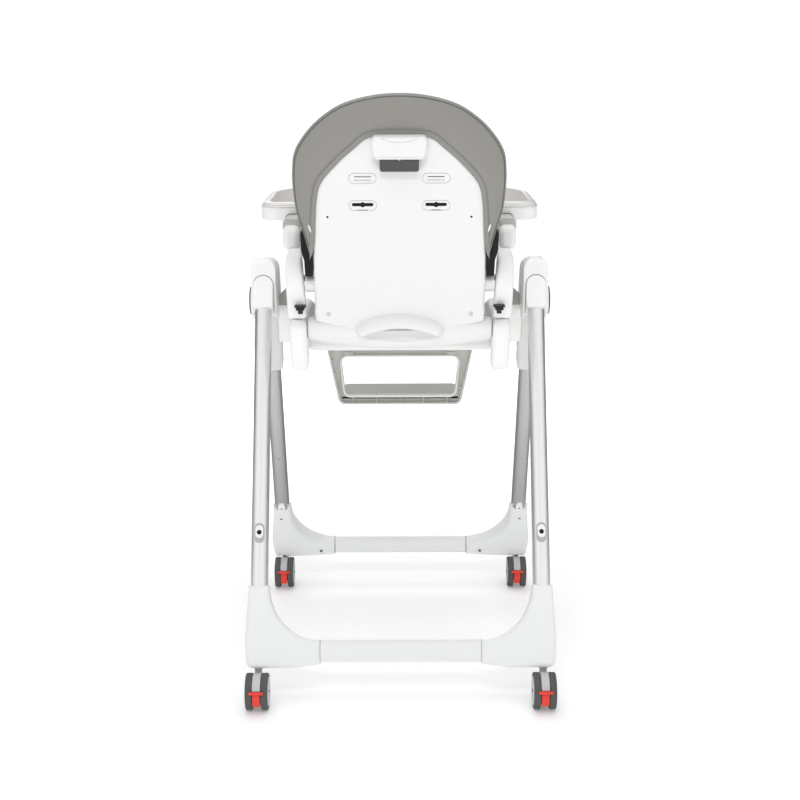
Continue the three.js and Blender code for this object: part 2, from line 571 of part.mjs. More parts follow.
function armPanel() {
  const foot = RAIL_TOP + GAP;
  const head = ARM_BOTTOM - GAP;
  const outline = rounded([
    [-30, foot, 10], [RECLINE_Y - 33, foot, 10], [RECLINE_Y + 39, foot + 28, 20],
    [RECLINE_Y + 63, head - 40, 28], [ARM_REAR + 4, head, 18], [-44, head, 10],
  ]);
  const body = plateX(outline, PANEL_INNER, PANEL_OUTER, [], 2);
  const sweep = (LOCK_STOPS - 1) * LOCK_STEP;
  const steps = 6;
  const along = Array.from({ length: steps + 1 }, (_, i) => bossRest + (sweep * i) / steps);
  const track = plateX([
    ...along.map((turn) => trackPoint(bossRadius - TRACK_HALF, turn)),
    ...along.reverse().map((turn) => trackPoint(bossRadius + TRACK_HALF, turn)),
  ].map((p) => new THREE.Vector2(...p)), PANEL_INNER - 5, PANEL_INNER + TRACK_DEPTH);
  const ends = [0, sweep].map((turn) => rod(TRACK_HALF, PANEL_INNER - 5, PANEL_INNER + TRACK_DEPTH,
    ...trackPoint(bossRadius, bossRest + turn)));
  const notches = Array.from({ length: LOCK_STOPS }, (_, i) => rod(TRACK_HALF, PANEL_INNER - 5,
    PANEL_INNER + TRACK_DEPTH, ...trackPoint(bossRadius + NOTCH_DEPTH, bossRest + i * LOCK_STEP)));
  const upright = -ARM_LEAN * (RAIL_TOP + 50);
  const lean = new THREE.Matrix4().set(1, 0, ARM_LEAN, upright, 0, 1, 0, 0, 0, 0, 1, 0, 0, 0, 0, 1);
  return cut(body.applyMatrix4(lean), track, ...ends, ...notches);
}

function armrest() {
  return plateX(rounded([
    [ARM_FRONT, ARM_BOTTOM, 16], [ARM_REAR, ARM_BOTTOM, 12], [ARM_REAR, ARM_TOP, 19],
    [ARM_FRONT, ARM_TOP, 19],
  ], 4), ARM_INNER, ARM_OUTER, [], 4);
}

const seatCushion = plateX(rounded([
  [SEAT_FRONT + WALL + 2, SEAT_BOTTOM + SEAT_FLOOR + GAP, 16],
  [SEAT_REAR - WALL - 8, SEAT_BOTTOM + SEAT_FLOOR + GAP, 10],
  [SEAT_REAR - WALL - 8, CUSHION_TOP, 14], [SEAT_FRONT + WALL + 2, CUSHION_TOP, 14],
]), -RAIL_INNER + WALL + 2, RAIL_INNER - WALL - 2, [], 8);

// Crotch strap and buckle: stands up from the cushion between the legs.
const CROTCH_Y = -70;
const buckle = join(
  plateY(oval(44, 52, 0, CUSHION_TOP + 62, 4), CROTCH_Y - 7, CROTCH_Y + 7, [], 3),
  block(-13, 13, CROTCH_Y - 1.5, CROTCH_Y + 1.5, CUSHION_TOP + GAP, CUSHION_TOP + 45),
);

add(chair, 'seat_shell', seatShell(), material.white);
addPair(chair, 'side_rail', sideRail(), material.white);
addPair(chair, 'arm_panel', armPanel(), material.white);
addPair(chair, 'armrest', armrest(), material.white);
add(chair, 'seat_cushion', seatCushion, material.fabric);
add(chair, 'crotch_buckle', buckle, material.dark);

// ---------------------------------------------------------------- backrest
// Drawn about the recline axis, upright: y is behind the pivot, z up the shell.
const backrest = new THREE.Group();
backrest.position.set(0, RECLINE_Y, RECLINE_Z);
backrest.rotation.x = -rad(RECLINE_LEAN);
backrest.updateMatrixWorld();
chair.add(backrest);

const shellHalf = (inset = 0) => [
  [SHELL_WIDTH - inset, inset / 2, 4], [SHELL_WIDTH - inset, SHELL_TOP - 229, 60],
  [SHELL_WIDTH + 24 - inset, SHELL_TOP - 152, 60], [SHELL_WIDTH + 6 - inset, SHELL_TOP - 62, 60],
  [SHELL_WIDTH - 58, SHELL_TOP - 14 - inset, 60], [0, SHELL_TOP - inset, 200]];
const coverHalf = () => [
  [SHELL_WIDTH + 14, BOSS_UP + 40, 6], [SHELL_WIDTH + 20, SHELL_TOP - 243, 60],
  [SHELL_WIDTH + 33, SHELL_TOP - 148, 60],
  [SHELL_WIDTH + 22, SHELL_TOP - 84, 40], [SHELL_WIDTH - 26, SHELL_TOP - 22, 60], [0, SHELL_TOP + 8, 260]];
const rimFront = SHELL_BACK - SHELL_RIM;

// A closed outline from its right half, mirrored; the last point is on the middle line.
const both = (half) => {
  const middle = half[half.length - 1];
  const side = half.slice(0, -1);
  return rounded([...side, middle, ...side.slice().reverse().map(([u, v, r]) => [-u, v, r])], 3);
};

// The rolled bottom: an oval bar along X, deeper in the middle than at its ends.
function barrel() {
  const half = SHELL_WIDTH + 8;
  const bar = new THREE.CylinderGeometry(1, 1, 2 * half, 16, 8).rotateZ(Math.PI / 2);
  const place = bar.attributes.position;
  for (let i = 0; i < place.count; i += 1) {
    const x = place.getX(i);
    const fullness = 1 - (x / half) ** 2;
    const high = BARREL_RADIUS + (BARREL_DROP * fullness) / 2;
    const deep = BARREL_RADIUS + 3 * fullness;
    place.setY(i, place.getY(i) * deep);
    place.setZ(i, place.getZ(i) * high - (BARREL_DROP * fullness) / 2);
  }
  return bar;
}

function backShell() {
  const panelFace = SHELL_BACK - WALL;
  const full = plateY(both(shellHalf()), rimFront, SHELL_BACK);
  const hollow = plateY(both(shellHalf(WALL)), rimFront - 10, panelFace);
  const wing = plateX(rounded([
    [-BOSS_FORWARD - 18, BOSS_UP - 18, 16], [rimFront + 4, 50, 0], [rimFront + 4, 118, 0],
    [-BOSS_FORWARD - 18, BOSS_UP + 18, 16]], 3), SHELL_WIDTH - WALL - 1, SHELL_WIDTH);
  const boss = rod(BOSS_RADIUS, SHELL_WIDTH - WALL - 1, PANEL_INNER - 2, -BOSS_FORWARD, BOSS_UP);
  const pinBore = rod(LOCK_RADIUS + GAP, SHELL_WIDTH - 30, SHELL_WIDTH + 40, -BOSS_FORWARD, BOSS_UP);
  const grip = plateY(rounded(mirrored([[78, 2, 8], [66, 14, 14], [34, 27, 30]]), 4), 14, 44, [], 3);
  const gripHole = plateY(rounded(mirrored([[62, -22, 4], [56, 3, 10], [24, 11, 26]]), 4), 24, 60);
  const axleBore = rod(RECLINE_RADIUS + GAP, -2 * SHELL_WIDTH, 2 * SHELL_WIDTH, 0, 0);
  const slots = [UPPER_SLOT, LOWER_SLOT].flatMap((z) => [-1, 1].map((side) => plateY(
    oval(34, 7, side * SLOT_X, z, 3), panelFace - 5, SHELL_BACK + 5)));
  const shell = join(cut(full, hollow), barrel(), wing, mirror(wing), boss, mirror(boss), grip);
  return cut(shell, pinBore, mirror(pinBore), axleBore, gripHole, ...slots);
}

// Housing over the recline lever: open below, with the lever's blade reaching up inside it.
const HOUSING_ROOF = HEM_TOP - 8;
const LEVER_HALF = 38;
function leverHousing() {
  const outline = mirrored([[LEVER_HALF + 4, LEVER_HOUSING, 4], [LEVER_HALF + 12, HEM_TOP - 3, 8]]);
  const body = plateY(rounded(outline), SHELL_BACK + GAP, SHELL_BACK + 24, [], 3);
  const hollow = block(-LEVER_HALF - 1, LEVER_HALF + 1, SHELL_BACK - 5, SHELL_BACK + 20, LEVER_HOUSING - 20,
    HOUSING_ROOF);
  return cut(body, hollow);
}

const PIN_HEEL = SHELL_WIDTH - 7.5;   // inner end of a lock pin
const recline = plateY(rounded(mirrored([
  [LEVER_HALF, LEVER_BOTTOM, 4], [LEVER_HALF, HOUSING_ROOF - LEVER_TRAVEL - 2, 2],
])), SHELL_BACK + GAP, SHELL_BACK + 16, [], 1.5);

const lockPin = rod(LOCK_RADIUS, PIN_HEEL, PANEL_INNER + 9, -BOSS_FORWARD, BOSS_UP);
const reclineAxle = rod(RECLINE_RADIUS, -RAIL_OUTER + 3, RAIL_OUTER - 3, RECLINE_Y, RECLINE_Z);

// Padded cover: the cushion in front of the shell, and the hood that wraps over the shell's top.
const padHalf = [
  [PIN_HEEL - PIN_TRAVEL - 4, 34, 14], [PIN_HEEL - PIN_TRAVEL - 1.5, BOSS_UP + 26, 10],
  [SHELL_WIDTH + 6, BOSS_UP + 56, 30], [SHELL_WIDTH + 16, SHELL_TOP - 238, 40],
  [SHELL_WIDTH + 27, SHELL_TOP - 148, 60], [SHELL_WIDTH + 16, SHELL_TOP - 88, 40],
  [SHELL_WIDTH - 30, SHELL_TOP - 29, 60], [0, SHELL_TOP, 260]];
const backCushion = plateY(both(padHalf), rimFront - PAD_DEPTH, rimFront - GAP, [], 6);

function hood() {
  const outer = plateY(both(coverHalf()), rimFront, SHELL_BACK + 4, [], 2);
  const room = plateY(both(shellHalf(-2 * GAP)), rimFront - 10, SHELL_BACK + GAP);
  const hem = plateY(rounded(mirrored([
    [SHELL_WIDTH + 3, 100, 2], [SHELL_WIDTH + 1, HEM_TOP - 138, 60], [SHELL_WIDTH - 41, HEM_TOP - 51, 70],
    [SLOT_X, HEM_TOP, 30]]), 4), 0, SHELL_BACK + 20);
  const sides = block(-2 * SHELL_WIDTH, 2 * SHELL_WIDTH, -100, 100, 0, BOSS_UP + 42);
  return cut(outer, room, hem, sides);
}

add(backrest, 'back_shell', backShell(), material.white);
add(backrest, 'lever_housing', leverHousing(), material.white);
add(backrest, 'recline_lever', recline, material.dark);
addPair(backrest, 'lock_pin', lockPin, material.steel);
add(chair, 'recline_axle', reclineAxle, material.steel);
add(backrest, 'back_cushion', backCushion, material.fabric);
add(backrest, 'cover_hood', hood(), material.fabric);

// ---------------------------------------------------------------- leg rest and footrest
const TONGUE = { inner: 96, outer: 120, thick: 6, top: LEGREST_Z - 15 };
const tongueY = FOOTREST_Y + FOOTREST_DEPTH / 2;

function legrest() {
  const panel = plateY(rounded([
    [-LEGREST_HALF, FOOTREST_TOP + GAP, 4], [LEGREST_HALF, FOOTREST_TOP + GAP, 4],
    [LEGREST_HALF, LEGREST_Z - 6, 12], [-LEGREST_HALF, LEGREST_Z - 6, 12],
  ]), FOOTREST_Y - 4, LEGREST_Y - 12, [], 2);
  const ear = plateX(rounded([
    [LEGREST_Y + EYE, LEGREST_Z - EYE, 8.8], [LEGREST_Y + EYE, LEGREST_Z + EYE, 8.8],
    [LEGREST_Y - EYE, LEGREST_Z + EYE, 8.8], [LEGREST_Y - 22, LEGREST_Z - 18, 0],
    [LEGREST_Y - 22, LEGREST_Z - 28, 0], [LEGREST_Y - 13, LEGREST_Z - 28, 0],
  ], 5), LUG_X - LUG_THICK - 1, LUG_X - 1);
  const rodHole = rod(ROD_RADIUS + GAP, -200, 200, LEGREST_Y, LEGREST_Z, 14);
  const slot = block(TONGUE.inner - GAP, TONGUE.outer + GAP, tongueY - TONGUE.thick / 2 - GAP,
    tongueY + TONGUE.thick / 2 + GAP, FOOTREST_TOP - 56, TONGUE.top + 1);
  return cut(join(panel, ear, mirror(ear)), rodHole, slot, mirror(slot));
}

function footrest() {
  const low = FOOTREST_HALF - 25.5;
  const outer = rounded(mirrored([[low, FOOTREST_BOTTOM, 14], [FOOTREST_HALF, FOOTREST_TOP, 4]]));
  const window = rounded(mirrored([[low - 14, FOOTREST_BOTTOM + 20, 14], [low - 5, FOOTREST_TOP - 20, 14]]));
  const frame = plateY(outer, FOOTREST_Y, FOOTREST_Y + FOOTREST_DEPTH, [window], 1.5);
  const platform = plateZ(rounded([
    [5 - low, FOOTREST_Y + 6, 0], [11 - low, FOOTREST_Y - PLATFORM_REACH, 30],
    [low - 11, FOOTREST_Y - PLATFORM_REACH, 30], [low - 5, FOOTREST_Y + 6, 0],
  ], 4), FOOTREST_BOTTOM + 8, FOOTREST_BOTTOM + 18);
  const tongue = block(TONGUE.inner, TONGUE.outer, tongueY - TONGUE.thick / 2, tongueY + TONGUE.thick / 2,
    FOOTREST_TOP - 10, TONGUE.top);
  return join(frame, platform, tongue, mirror(tongue));
}

add(chair, 'legrest', legrest(), material.grey);
const rodEnd = LUG_X + LUG_THICK + 2;
add(chair, 'legrest_rod', rod(ROD_RADIUS, -rodEnd, rodEnd, LEGREST_Y, LEGREST_Z, 14), material.steel);
add(chair, 'footrest', footrest(), material.grey);

// ---------------------------------------------------------------- tray
const TRAY_BOTTOM = ARM_TOP + GAP;
const TRAY_TOP = TRAY_BOTTOM + TRAY_THICK;
const RUNNER_DROP = 17;
const TRAY_FLOOR = 3;
const RUNNER_THICK = 3.5;
const RELEASE_HALF = 47;

// The tray's outline, drawn in by an inset all round.
const trayOutline = (inset, segments = 4) => rounded(mirrored([
  [BELLY_HALF - 15 + inset, TRAY_REAR - BELLY_DEPTH - inset, 80 + inset],
  [BELLY_HALF + inset, TRAY_REAR - inset, 20 - inset / 2],
  [TRAY_HALF - inset, TRAY_REAR - inset, 34 - inset],
  [TRAY_HALF - inset, TRAY_FRONT + inset, 95 - inset],
].reverse()), segments);

function trayBase() {
  const body = plateZ(trayOutline(2), TRAY_BOTTOM, TRAY_TOP);
  const pocket = plateZ(trayOutline(6), TRAY_BOTTOM + TRAY_FLOOR, TRAY_TOP + 20);
  const runner = (x0, x1) => block(x0, x1, TRAY_REAR - 180, TRAY_REAR - 30, TRAY_BOTTOM - RUNNER_DROP,
    TRAY_BOTTOM + 2);
  const all = [
    runner(ARM_INNER - 1 - RUNNER_THICK, ARM_INNER - 1),
    runner(ARM_OUTER + 1, ARM_OUTER + 1 + RUNNER_THICK),
    block(-RELEASE_HALF - 5, -RELEASE_HALF - 1, TRAY_FRONT + 6, TRAY_FRONT + 56, TRAY_BOTTOM - 12,
      TRAY_BOTTOM + 2),
  ];
  return join(cut(body, pocket), ...all, ...all.map(mirror));
}

function trayInsert() {
  const rim = plateZ(trayOutline(0), TRAY_TOP + GAP, TRAY_TOP + 4);
  const bowl = plateZ(trayOutline(10), TRAY_BOTTOM + TRAY_FLOOR + GAP, TRAY_TOP + 1);
  const dish = plateZ(trayOutline(10 + WALL), TRAY_BOTTOM + TRAY_FLOOR + WALL, TRAY_TOP + 20);
  return cut(join(rim, bowl), dish);
}

const release = join(
  plateZ(rounded(mirrored([
    [RELEASE_HALF, TRAY_FRONT + 4, 6], [RELEASE_HALF, TRAY_FRONT + 44, 4],
  ])), TRAY_BOTTOM - 9, TRAY_BOTTOM - GAP),
  block(7 - RELEASE_HALF, RELEASE_HALF - 7, TRAY_FRONT + 4, TRAY_FRONT + 10, TRAY_BOTTOM - 18,
    TRAY_BOTTOM - 8),
);

add(chair, 'tray_base', trayBase(), material.white);
add(chair, 'tray_insert', trayInsert(), material.clear);
add(chair, 'tray_release', release, material.grey);

export default chair;
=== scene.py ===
# %% [markdown]
# A folding baby high chair, dressed for a studio picture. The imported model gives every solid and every
# joint in one shared frame, in metres, with +Z up and the child looking along -Y. This lesson replaces the
# plain solids, piece by piece, with finely rounded ones, and gives each surface a node-based finish.

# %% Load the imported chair
import json
import math

import bmesh
import bpy
from mathutils import Matrix, Vector

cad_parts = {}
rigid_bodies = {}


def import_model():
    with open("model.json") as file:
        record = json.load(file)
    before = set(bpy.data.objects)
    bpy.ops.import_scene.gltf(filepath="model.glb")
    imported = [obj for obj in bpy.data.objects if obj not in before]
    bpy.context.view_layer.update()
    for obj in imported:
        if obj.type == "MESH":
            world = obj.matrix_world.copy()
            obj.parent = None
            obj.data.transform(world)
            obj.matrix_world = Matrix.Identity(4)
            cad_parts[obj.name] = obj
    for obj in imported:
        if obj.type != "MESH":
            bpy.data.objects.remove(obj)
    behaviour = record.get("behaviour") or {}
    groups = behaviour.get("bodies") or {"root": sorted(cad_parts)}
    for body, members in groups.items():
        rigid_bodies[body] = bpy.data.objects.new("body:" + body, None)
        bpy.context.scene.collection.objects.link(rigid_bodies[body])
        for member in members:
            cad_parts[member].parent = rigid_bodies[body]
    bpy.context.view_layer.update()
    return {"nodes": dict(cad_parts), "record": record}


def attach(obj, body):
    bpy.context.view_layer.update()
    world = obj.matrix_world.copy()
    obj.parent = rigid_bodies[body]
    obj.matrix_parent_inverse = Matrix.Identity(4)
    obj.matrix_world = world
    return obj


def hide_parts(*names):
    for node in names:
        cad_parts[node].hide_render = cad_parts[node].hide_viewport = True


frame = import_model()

# %% [markdown]
# Drawing in millimetres is easier to read, so every helper below works in millimetres and scales its mesh
# once at the end. The chair has three leaning groups: the front legs, the rear legs and the backrest. Each
# gets a matrix from the joint that it turns on, so a piece is drawn upright and then leaned.

# %% Frames of the leaning groups
MM = 0.001
joints = {joint["name"]: joint for joint in frame["record"]["behaviour"]["joints"]}
LEG_TILT = math.radians(23.5)
BACK_LEAN = math.radians(12)


def joint_point(name):
    return Vector(joints[name]["pos_m"]) / MM


hinge = joint_point("frame_fold")
pivot = joint_point("backrest_recline")
front_frame = Matrix.Translation(hinge) @ Matrix.Rotation(-LEG_TILT, 4, "X")
rear_frame = Matrix.Translation(hinge) @ Matrix.Rotation(LEG_TILT, 4, "X")
back_frame = Matrix.Translation(pivot) @ Matrix.Rotation(-BACK_LEAN, 4, "X")
upright = Matrix.Identity(4)
TRACK = joint_point("caster_swivel_rear_left").x
SIDES = (("left", 1), ("right", -1))
print("hinge", tuple(hinge), "pivot", tuple(pivot), "track", TRACK)

# %% [markdown]
# Most moulded parts are a flat outline raised to a thickness, with each corner rounded by its own radius
# and the rims softened. One helper does all of that with operators: it makes the corner vertices, extrudes
# the face, bevels each upright edge by its corner's radius, and then bevels the two rims together.

# %% Plate helper
PLACES = {
    "x": lambda u, v, d: (d, u, v),
    "y": lambda u, v, d: (u, d, v),
    "z": lambda u, v, d: (u, v, d),
}


def corner_reach(corners, i):
    here = Vector(corners[i][:2])
    back = Vector(corners[i - 1][:2]) - here
    on = Vector(corners[(i + 1) % len(corners)][:2]) - here
    radius = corners[i][2] if len(corners[i]) > 2 else 0
    half = back.angle(on) / 2
    return min(radius / math.tan(half), 0.495 * min(back.length, on.length))


def edge_between(bm, a, b):
    for edge in bm.edges:
        p, q = edge.verts[0].co, edge.verts[1].co
        if (p - a).length + (q - b).length < 1e-3 or (p - b).length + (q - a).length < 1e-3:
            return edge
    return None


def round_edges(bm, edges, offset, steps):
    bmesh.ops.bevel(bm, geom=edges, offset=offset, offset_type="OFFSET", segments=steps, profile=0.5,
                    affect="EDGES", clamp_overlap=False, material=-1)


def plate(corners, low, high, across, rim=0.0, rim_steps=3, steps=6, rims=("low", "high")):
    place = PLACES[across]
    bm = bmesh.new()
    face = bm.faces.new([bm.verts.new(place(c[0], c[1], low)) for c in corners])
    raised = bmesh.ops.extrude_face_region(bm, geom=[face])
    top = [part for part in raised["geom"] if isinstance(part, bmesh.types.BMVert)]
    bmesh.ops.translate(bm, verts=top, vec=Vector(place(0, 0, high - low)))
    bmesh.ops.holes_fill(bm, edges=bm.edges[:], sides=0)
    for i, corner in enumerate(corners):
        reach = corner_reach(corners, i)
        if reach < 0.05:
            continue
        edge = edge_between(bm, Vector(place(*corner[:2], low)), Vector(place(*corner[:2], high)))
        round_edges(bm, [edge], reach, steps)
    bmesh.ops.remove_doubles(bm, verts=bm.verts[:], dist=0.01)
    bmesh.ops.recalc_face_normals(bm, faces=bm.faces[:])
    if rim > 0:
        axis = "xyz".index(across)
        levels = {"low": low, "high": high}
        edges = [e for e in bm.edges for r in rims if all(abs(v.co[axis] - levels[r]) < 1e-4 for v in e.verts)]
        round_edges(bm, edges, rim, rim_steps)
    return bm


def mirrored(half):
    return list(half) + [(-c[0], *c[1:]) for c in reversed(half) if abs(c[0]) > 1e-6]


def rect(u0, u1, v0, v1, *radii):
    """A rectangle's corners from the lower left one round, with one radius for all four or one for each."""
    left, right = sorted((u0, u1))
    return list(zip((left, right, right, left), (v0, v0, v1, v1), radii * 4 if len(radii) == 1 else radii))


def oval(width, height, u=0, v=0):
    return rect(u - width / 2, u + width / 2, v - height / 2, v + height / 2, min(width, height) / 2 - 0.01)


def span(sign, near, far):
    """The low and high end of a stretch on one side of the middle."""
    return sorted((sign * near, sign * far))


def facing_out(bm):
    bmesh.ops.recalc_face_normals(bm, faces=bm.faces[:])
    return bm


def placed(bm, matrix):
    bmesh.ops.transform(bm, verts=bm.verts[:], matrix=matrix)
    return bm


# %% [markdown]
# Round parts come from a circle that is extruded, or from a profile that is spun about its axis. Separate
# shells of one moulding are gathered into a single mesh, because they are one piece on the real chair.

# %% Rods, turned parts and gathering
def rod(radius, low, high, across, u, v, rim=0.0, sides=32):
    bm = bmesh.new()
    bmesh.ops.create_cone(bm, cap_ends=True, segments=sides, radius1=radius, radius2=radius, depth=high - low)
    turn = {"x": Matrix.Rotation(math.pi / 2, 4, "Y"), "y": Matrix.Rotation(math.pi / 2, 4, "X"), "z": upright}
    placed(bm, turn[across])
    bmesh.ops.translate(bm, verts=bm.verts[:], vec=Vector(PLACES[across](u, v, (low + high) / 2)))
    if rim > 0:
        axis = "xyz".index(across)
        round_edges(bm, [e for e in bm.edges if abs(e.verts[0].co[axis] - e.verts[1].co[axis]) < 1e-4], rim, 3)
    return facing_out(bm)


def turned(profile, y=0, z=0, sides=64):
    """Spins a profile of (radius, x) points about an axis along X."""
    bm = bmesh.new()
    points = [bm.verts.new((x, y, z + r)) for r, x in profile]
    edges = [bm.edges.new(pair) for pair in zip(points, points[1:])]
    bmesh.ops.spin(bm, geom=points + edges, cent=Vector((0, y, z)), axis=Vector((1, 0, 0)), angle=2 * math.pi,
                   steps=sides, use_merge=True, use_duplicate=False)
    bmesh.ops.remove_doubles(bm, verts=bm.verts[:], dist=0.005)
    return facing_out(bm)


def gather(*parts):
    whole = bmesh.new()
    for part in parts:
        shell = bpy.data.meshes.new("shell")
        part.to_mesh(shell)
        part.free()
        whole.from_mesh(shell)
        bpy.data.meshes.remove(shell)
    return whole


def as_object(bm, name="shape"):
    mesh = bpy.data.meshes.new(name)
    bm.to_mesh(mesh)
    bm.free()
    shape = bpy.data.objects.new(name, mesh)
    bpy.context.scene.collection.objects.link(shape)
    return shape


def as_bmesh(shape):
    """The shape with its modifiers applied; the helper object is removed."""
    result = bpy.data.meshes.new_from_object(shape.evaluated_get(bpy.context.evaluated_depsgraph_get()))
    bm = bmesh.new()
    bm.from_mesh(result)
    bpy.data.batch_remove([shape, shape.data, result])
    return bm


def modifier(shape, name, kind, **settings):
    step = shape.modifiers.new(name, kind)
    for key, value in settings.items():
        setattr(step, key, value)
    return step


def in_order(bm):
    """Sorts a mesh by place: Booleans and plane cuts return its parts in an order that changes from run to run."""
    for parts, place in ((bm.verts, lambda vert: (tuple(round(c, 3) for c in vert.co), tuple(vert.co))),
                         (bm.edges, lambda edge: sorted(vert.index for vert in edge.verts)),
                         (bm.faces, lambda face: sorted(vert.index for vert in face.verts))):
        rank = {part: i for i, part in enumerate(sorted(parts, key=place))}
        parts.sort(key=lambda part: rank[part])
        parts.index_update()


def carved(bm, *tools, how="DIFFERENCE"):
    """Cuts closed meshes out of a closed mesh, or keeps what they share, with applied Boolean modifiers."""
    shape = as_object(bm)
    cutters = [as_object(tool) for tool in tools]
    for cutter in cutters:
        modifier(shape, "carve", "BOOLEAN", operation=how, solver="EXACT", object=cutter)
    result = as_bmesh(shape)
    if len(result.faces) < 6:
        print("A carve left only", len(result.faces), "faces")
    in_order(result)
    bpy.data.batch_remove([part for cutter in cutters for part in (cutter, cutter.data)])
    return result


def softened(bm, width, steps=3, angle=35):
    """Rounds every edge that turns more than the angle, with an applied Bevel modifier."""
    shape = as_object(bm)
    modifier(shape, "soften", "BEVEL", width=width, segments=steps, limit_method="ANGLE",
             angle_limit=math.radians(angle))
    return as_bmesh(shape)


def through(points, count):
    """Evenly spaced points on a smooth line through the given ones."""
    ends = [tuple(2 * a - b for a, b in zip(points[0], points[1]))] + list(points)
    ends.append(tuple(2 * a - b for a, b in zip(points[-1], points[-2])))
    fine_points = []
    for p, q, r, s in zip(ends, ends[1:], ends[2:], ends[3:]):
        for k in range(24):
            t = k / 24
            fine_points.append(Vector([0.5 * (2 * b + (c - a) * t + (2 * a - 5 * b + 4 * c - d) * t * t
                                              + (3 * b - a - 3 * c + d) * t ** 3) for a, b, c, d in zip(p, q, r, s)]))
    fine_points.append(Vector(points[-1]))
    reach = [0.0]
    for a, b in zip(fine_points, fine_points[1:]):
        reach.append(reach[-1] + (b - a).length)
    spaced, k = [], 0
    for i in range(count):
        goal = reach[-1] * i / (count - 1)
        while k < len(reach) - 2 and reach[k + 1] < goal:
            k += 1
        t = (goal - reach[k]) / max(1e-9, reach[k + 1] - reach[k])
        spaced.append(fine_points[k].lerp(fine_points[k + 1], min(1, t)))
    return spaced


def cord_along(points, radius):
    curve = bpy.data.curves.new("cord", "CURVE")
    curve.dimensions = "3D"
    curve.bevel_depth = radius
    curve.bevel_resolution = 3
    curve.use_fill_caps = True
    line = curve.splines.new("POLY")
    line.points.add(len(points) - 1)
    for point, at in zip(line.points, points):
        point.co = (*at, 1)
    holder = bpy.data.objects.new("cord", curve)
    bpy.context.scene.collection.objects.link(holder)
    bm = as_bmesh(holder)
    return facing_out(bm)


def flip(bm):
    bmesh.ops.scale(bm, vec=Vector((-1, 1, 1)), verts=bm.verts[:])
    bmesh.ops.reverse_faces(bm, faces=bm.faces[:])
    return bm


# %% [markdown]
# A finished piece keeps its place in its mesh, so that its object sits at the origin as the solids do. The
# helper leans the mesh, scales it to metres, marks the edges that stay crisp, and adds a Weighted Normal
# modifier, which keeps big flat faces flat right up to their rounded rims.

# %% Piece helper
def piece(name, bm, body, finish, stands_for=(), lean=upright, crisp=40, weighted=True):
    obj = as_object(placed(bm, Matrix.Scale(MM, 4) @ lean), name)
    mesh = obj.data
    mesh.polygons.foreach_set("use_smooth", [True] * len(mesh.polygons))
    mesh.set_sharp_from_angle(angle=math.radians(crisp))
    mesh.materials.append(finish)
    if weighted:
        modifier(obj, "flat faces", "WEIGHTED_NORMAL", keep_sharp=True)
    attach(obj, body)
    if stands_for:
        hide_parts(*stands_for)
    return obj


def both_sides(name, make, body, finish, stands_for=None, lean=upright, **more):
    """One piece on each side; body and stands_for may hold {side}."""
    made = []
    for side, sign in SIDES:
        bm = make() if sign > 0 else flip(make())
        nodes = [stands_for.format(side=side)] if stands_for else []
        made.append(piece(f"{name}_{side}", bm, body.format(side=side), finish, nodes, lean, **more))
    return made


def on_back(name, bm, finish, nodes=(), **more):
    """A piece of the backrest, drawn upright about the recline axis and then leaned."""
    return piece(name, bm, "backrest", finish, nodes, back_frame, **more)

# %% [markdown]
# The camera stands behind the chair, a little above the backrest, and looks slightly down. Over the pale
# floor a bright sky gives soft light from everywhere, one big panel hangs overhead, two softboxes draw the
# two streaks on each tube, and a small lamp high up throws the bars' shadows. The floor glows more with
# distance, so that it melts into the sky. In front of the chair the room is dark to a reflection, as behind
# black screens: that gives the round tubes their darker edges.

# %% Camera, floor and light
LOOK_DOWN, ROLL = math.radians(12.8), math.radians(-0.17)
camera_data = bpy.data.cameras.new("camera")
camera_data.lens = 64.67
camera_data.sensor_width = 36
camera = bpy.data.objects.new("camera", camera_data)
camera.location = (0, 2.7395, 1.1206)
aim = Matrix.Rotation(math.pi, 3, "Z") @ Matrix.Rotation(math.pi / 2 - LOOK_DOWN, 3, "X")
camera.rotation_euler = (aim @ Matrix.Rotation(ROLL, 3, "Z")).to_euler()
bpy.context.scene.collection.objects.link(camera)
bpy.context.scene.camera = camera
bpy.context.scene.view_settings.view_transform = "Standard"


def linear(red, green, blue):
    """A screen colour, 0 to 255, as the linear colour that a shader takes."""
    return tuple(((c / 255 + 0.055) / 1.055) ** 2.4 if c > 10 else c / 255 / 12.92 for c in (red, green, blue)) + (1,)


def fill(tree, made, inputs):
    """Sets a node's inputs: a socket is linked, and anything else is a value."""
    for key, value in inputs.items():
        if isinstance(value, bpy.types.NodeSocket):
            tree.links.new(value, made.inputs[key])
        else:
            made.inputs[key].default_value = value


def node(tree, kind, inputs=(), **settings):
    """Adds a shader node and gives its outputs."""
    made = tree.nodes.new("ShaderNode" + kind)
    for key, value in settings.items():
        setattr(made, key, value)
    fill(tree, made, dict(inputs))
    return made.outputs


def smooth_range(tree, value, from_min, from_max, to_min, to_max):
    return node(tree, "MapRange", {"Value": value, "From Min": from_min, "From Max": from_max, "To Min": to_min,
                                   "To Max": to_max}, interpolation_type="SMOOTHSTEP")["Result"]


def dark_ahead(tree, direction, bright, dark, near, far):
    """A brightness that falls from behind the chair to in front of it, for mirror-like reflections only."""
    return smooth_range(tree, node(tree, "SeparateXYZ", {0: direction})["Y"], far, near, dark, bright)


def ray_is(tree, kind):
    return node(tree, "LightPath")[f"Is {kind} Ray"]


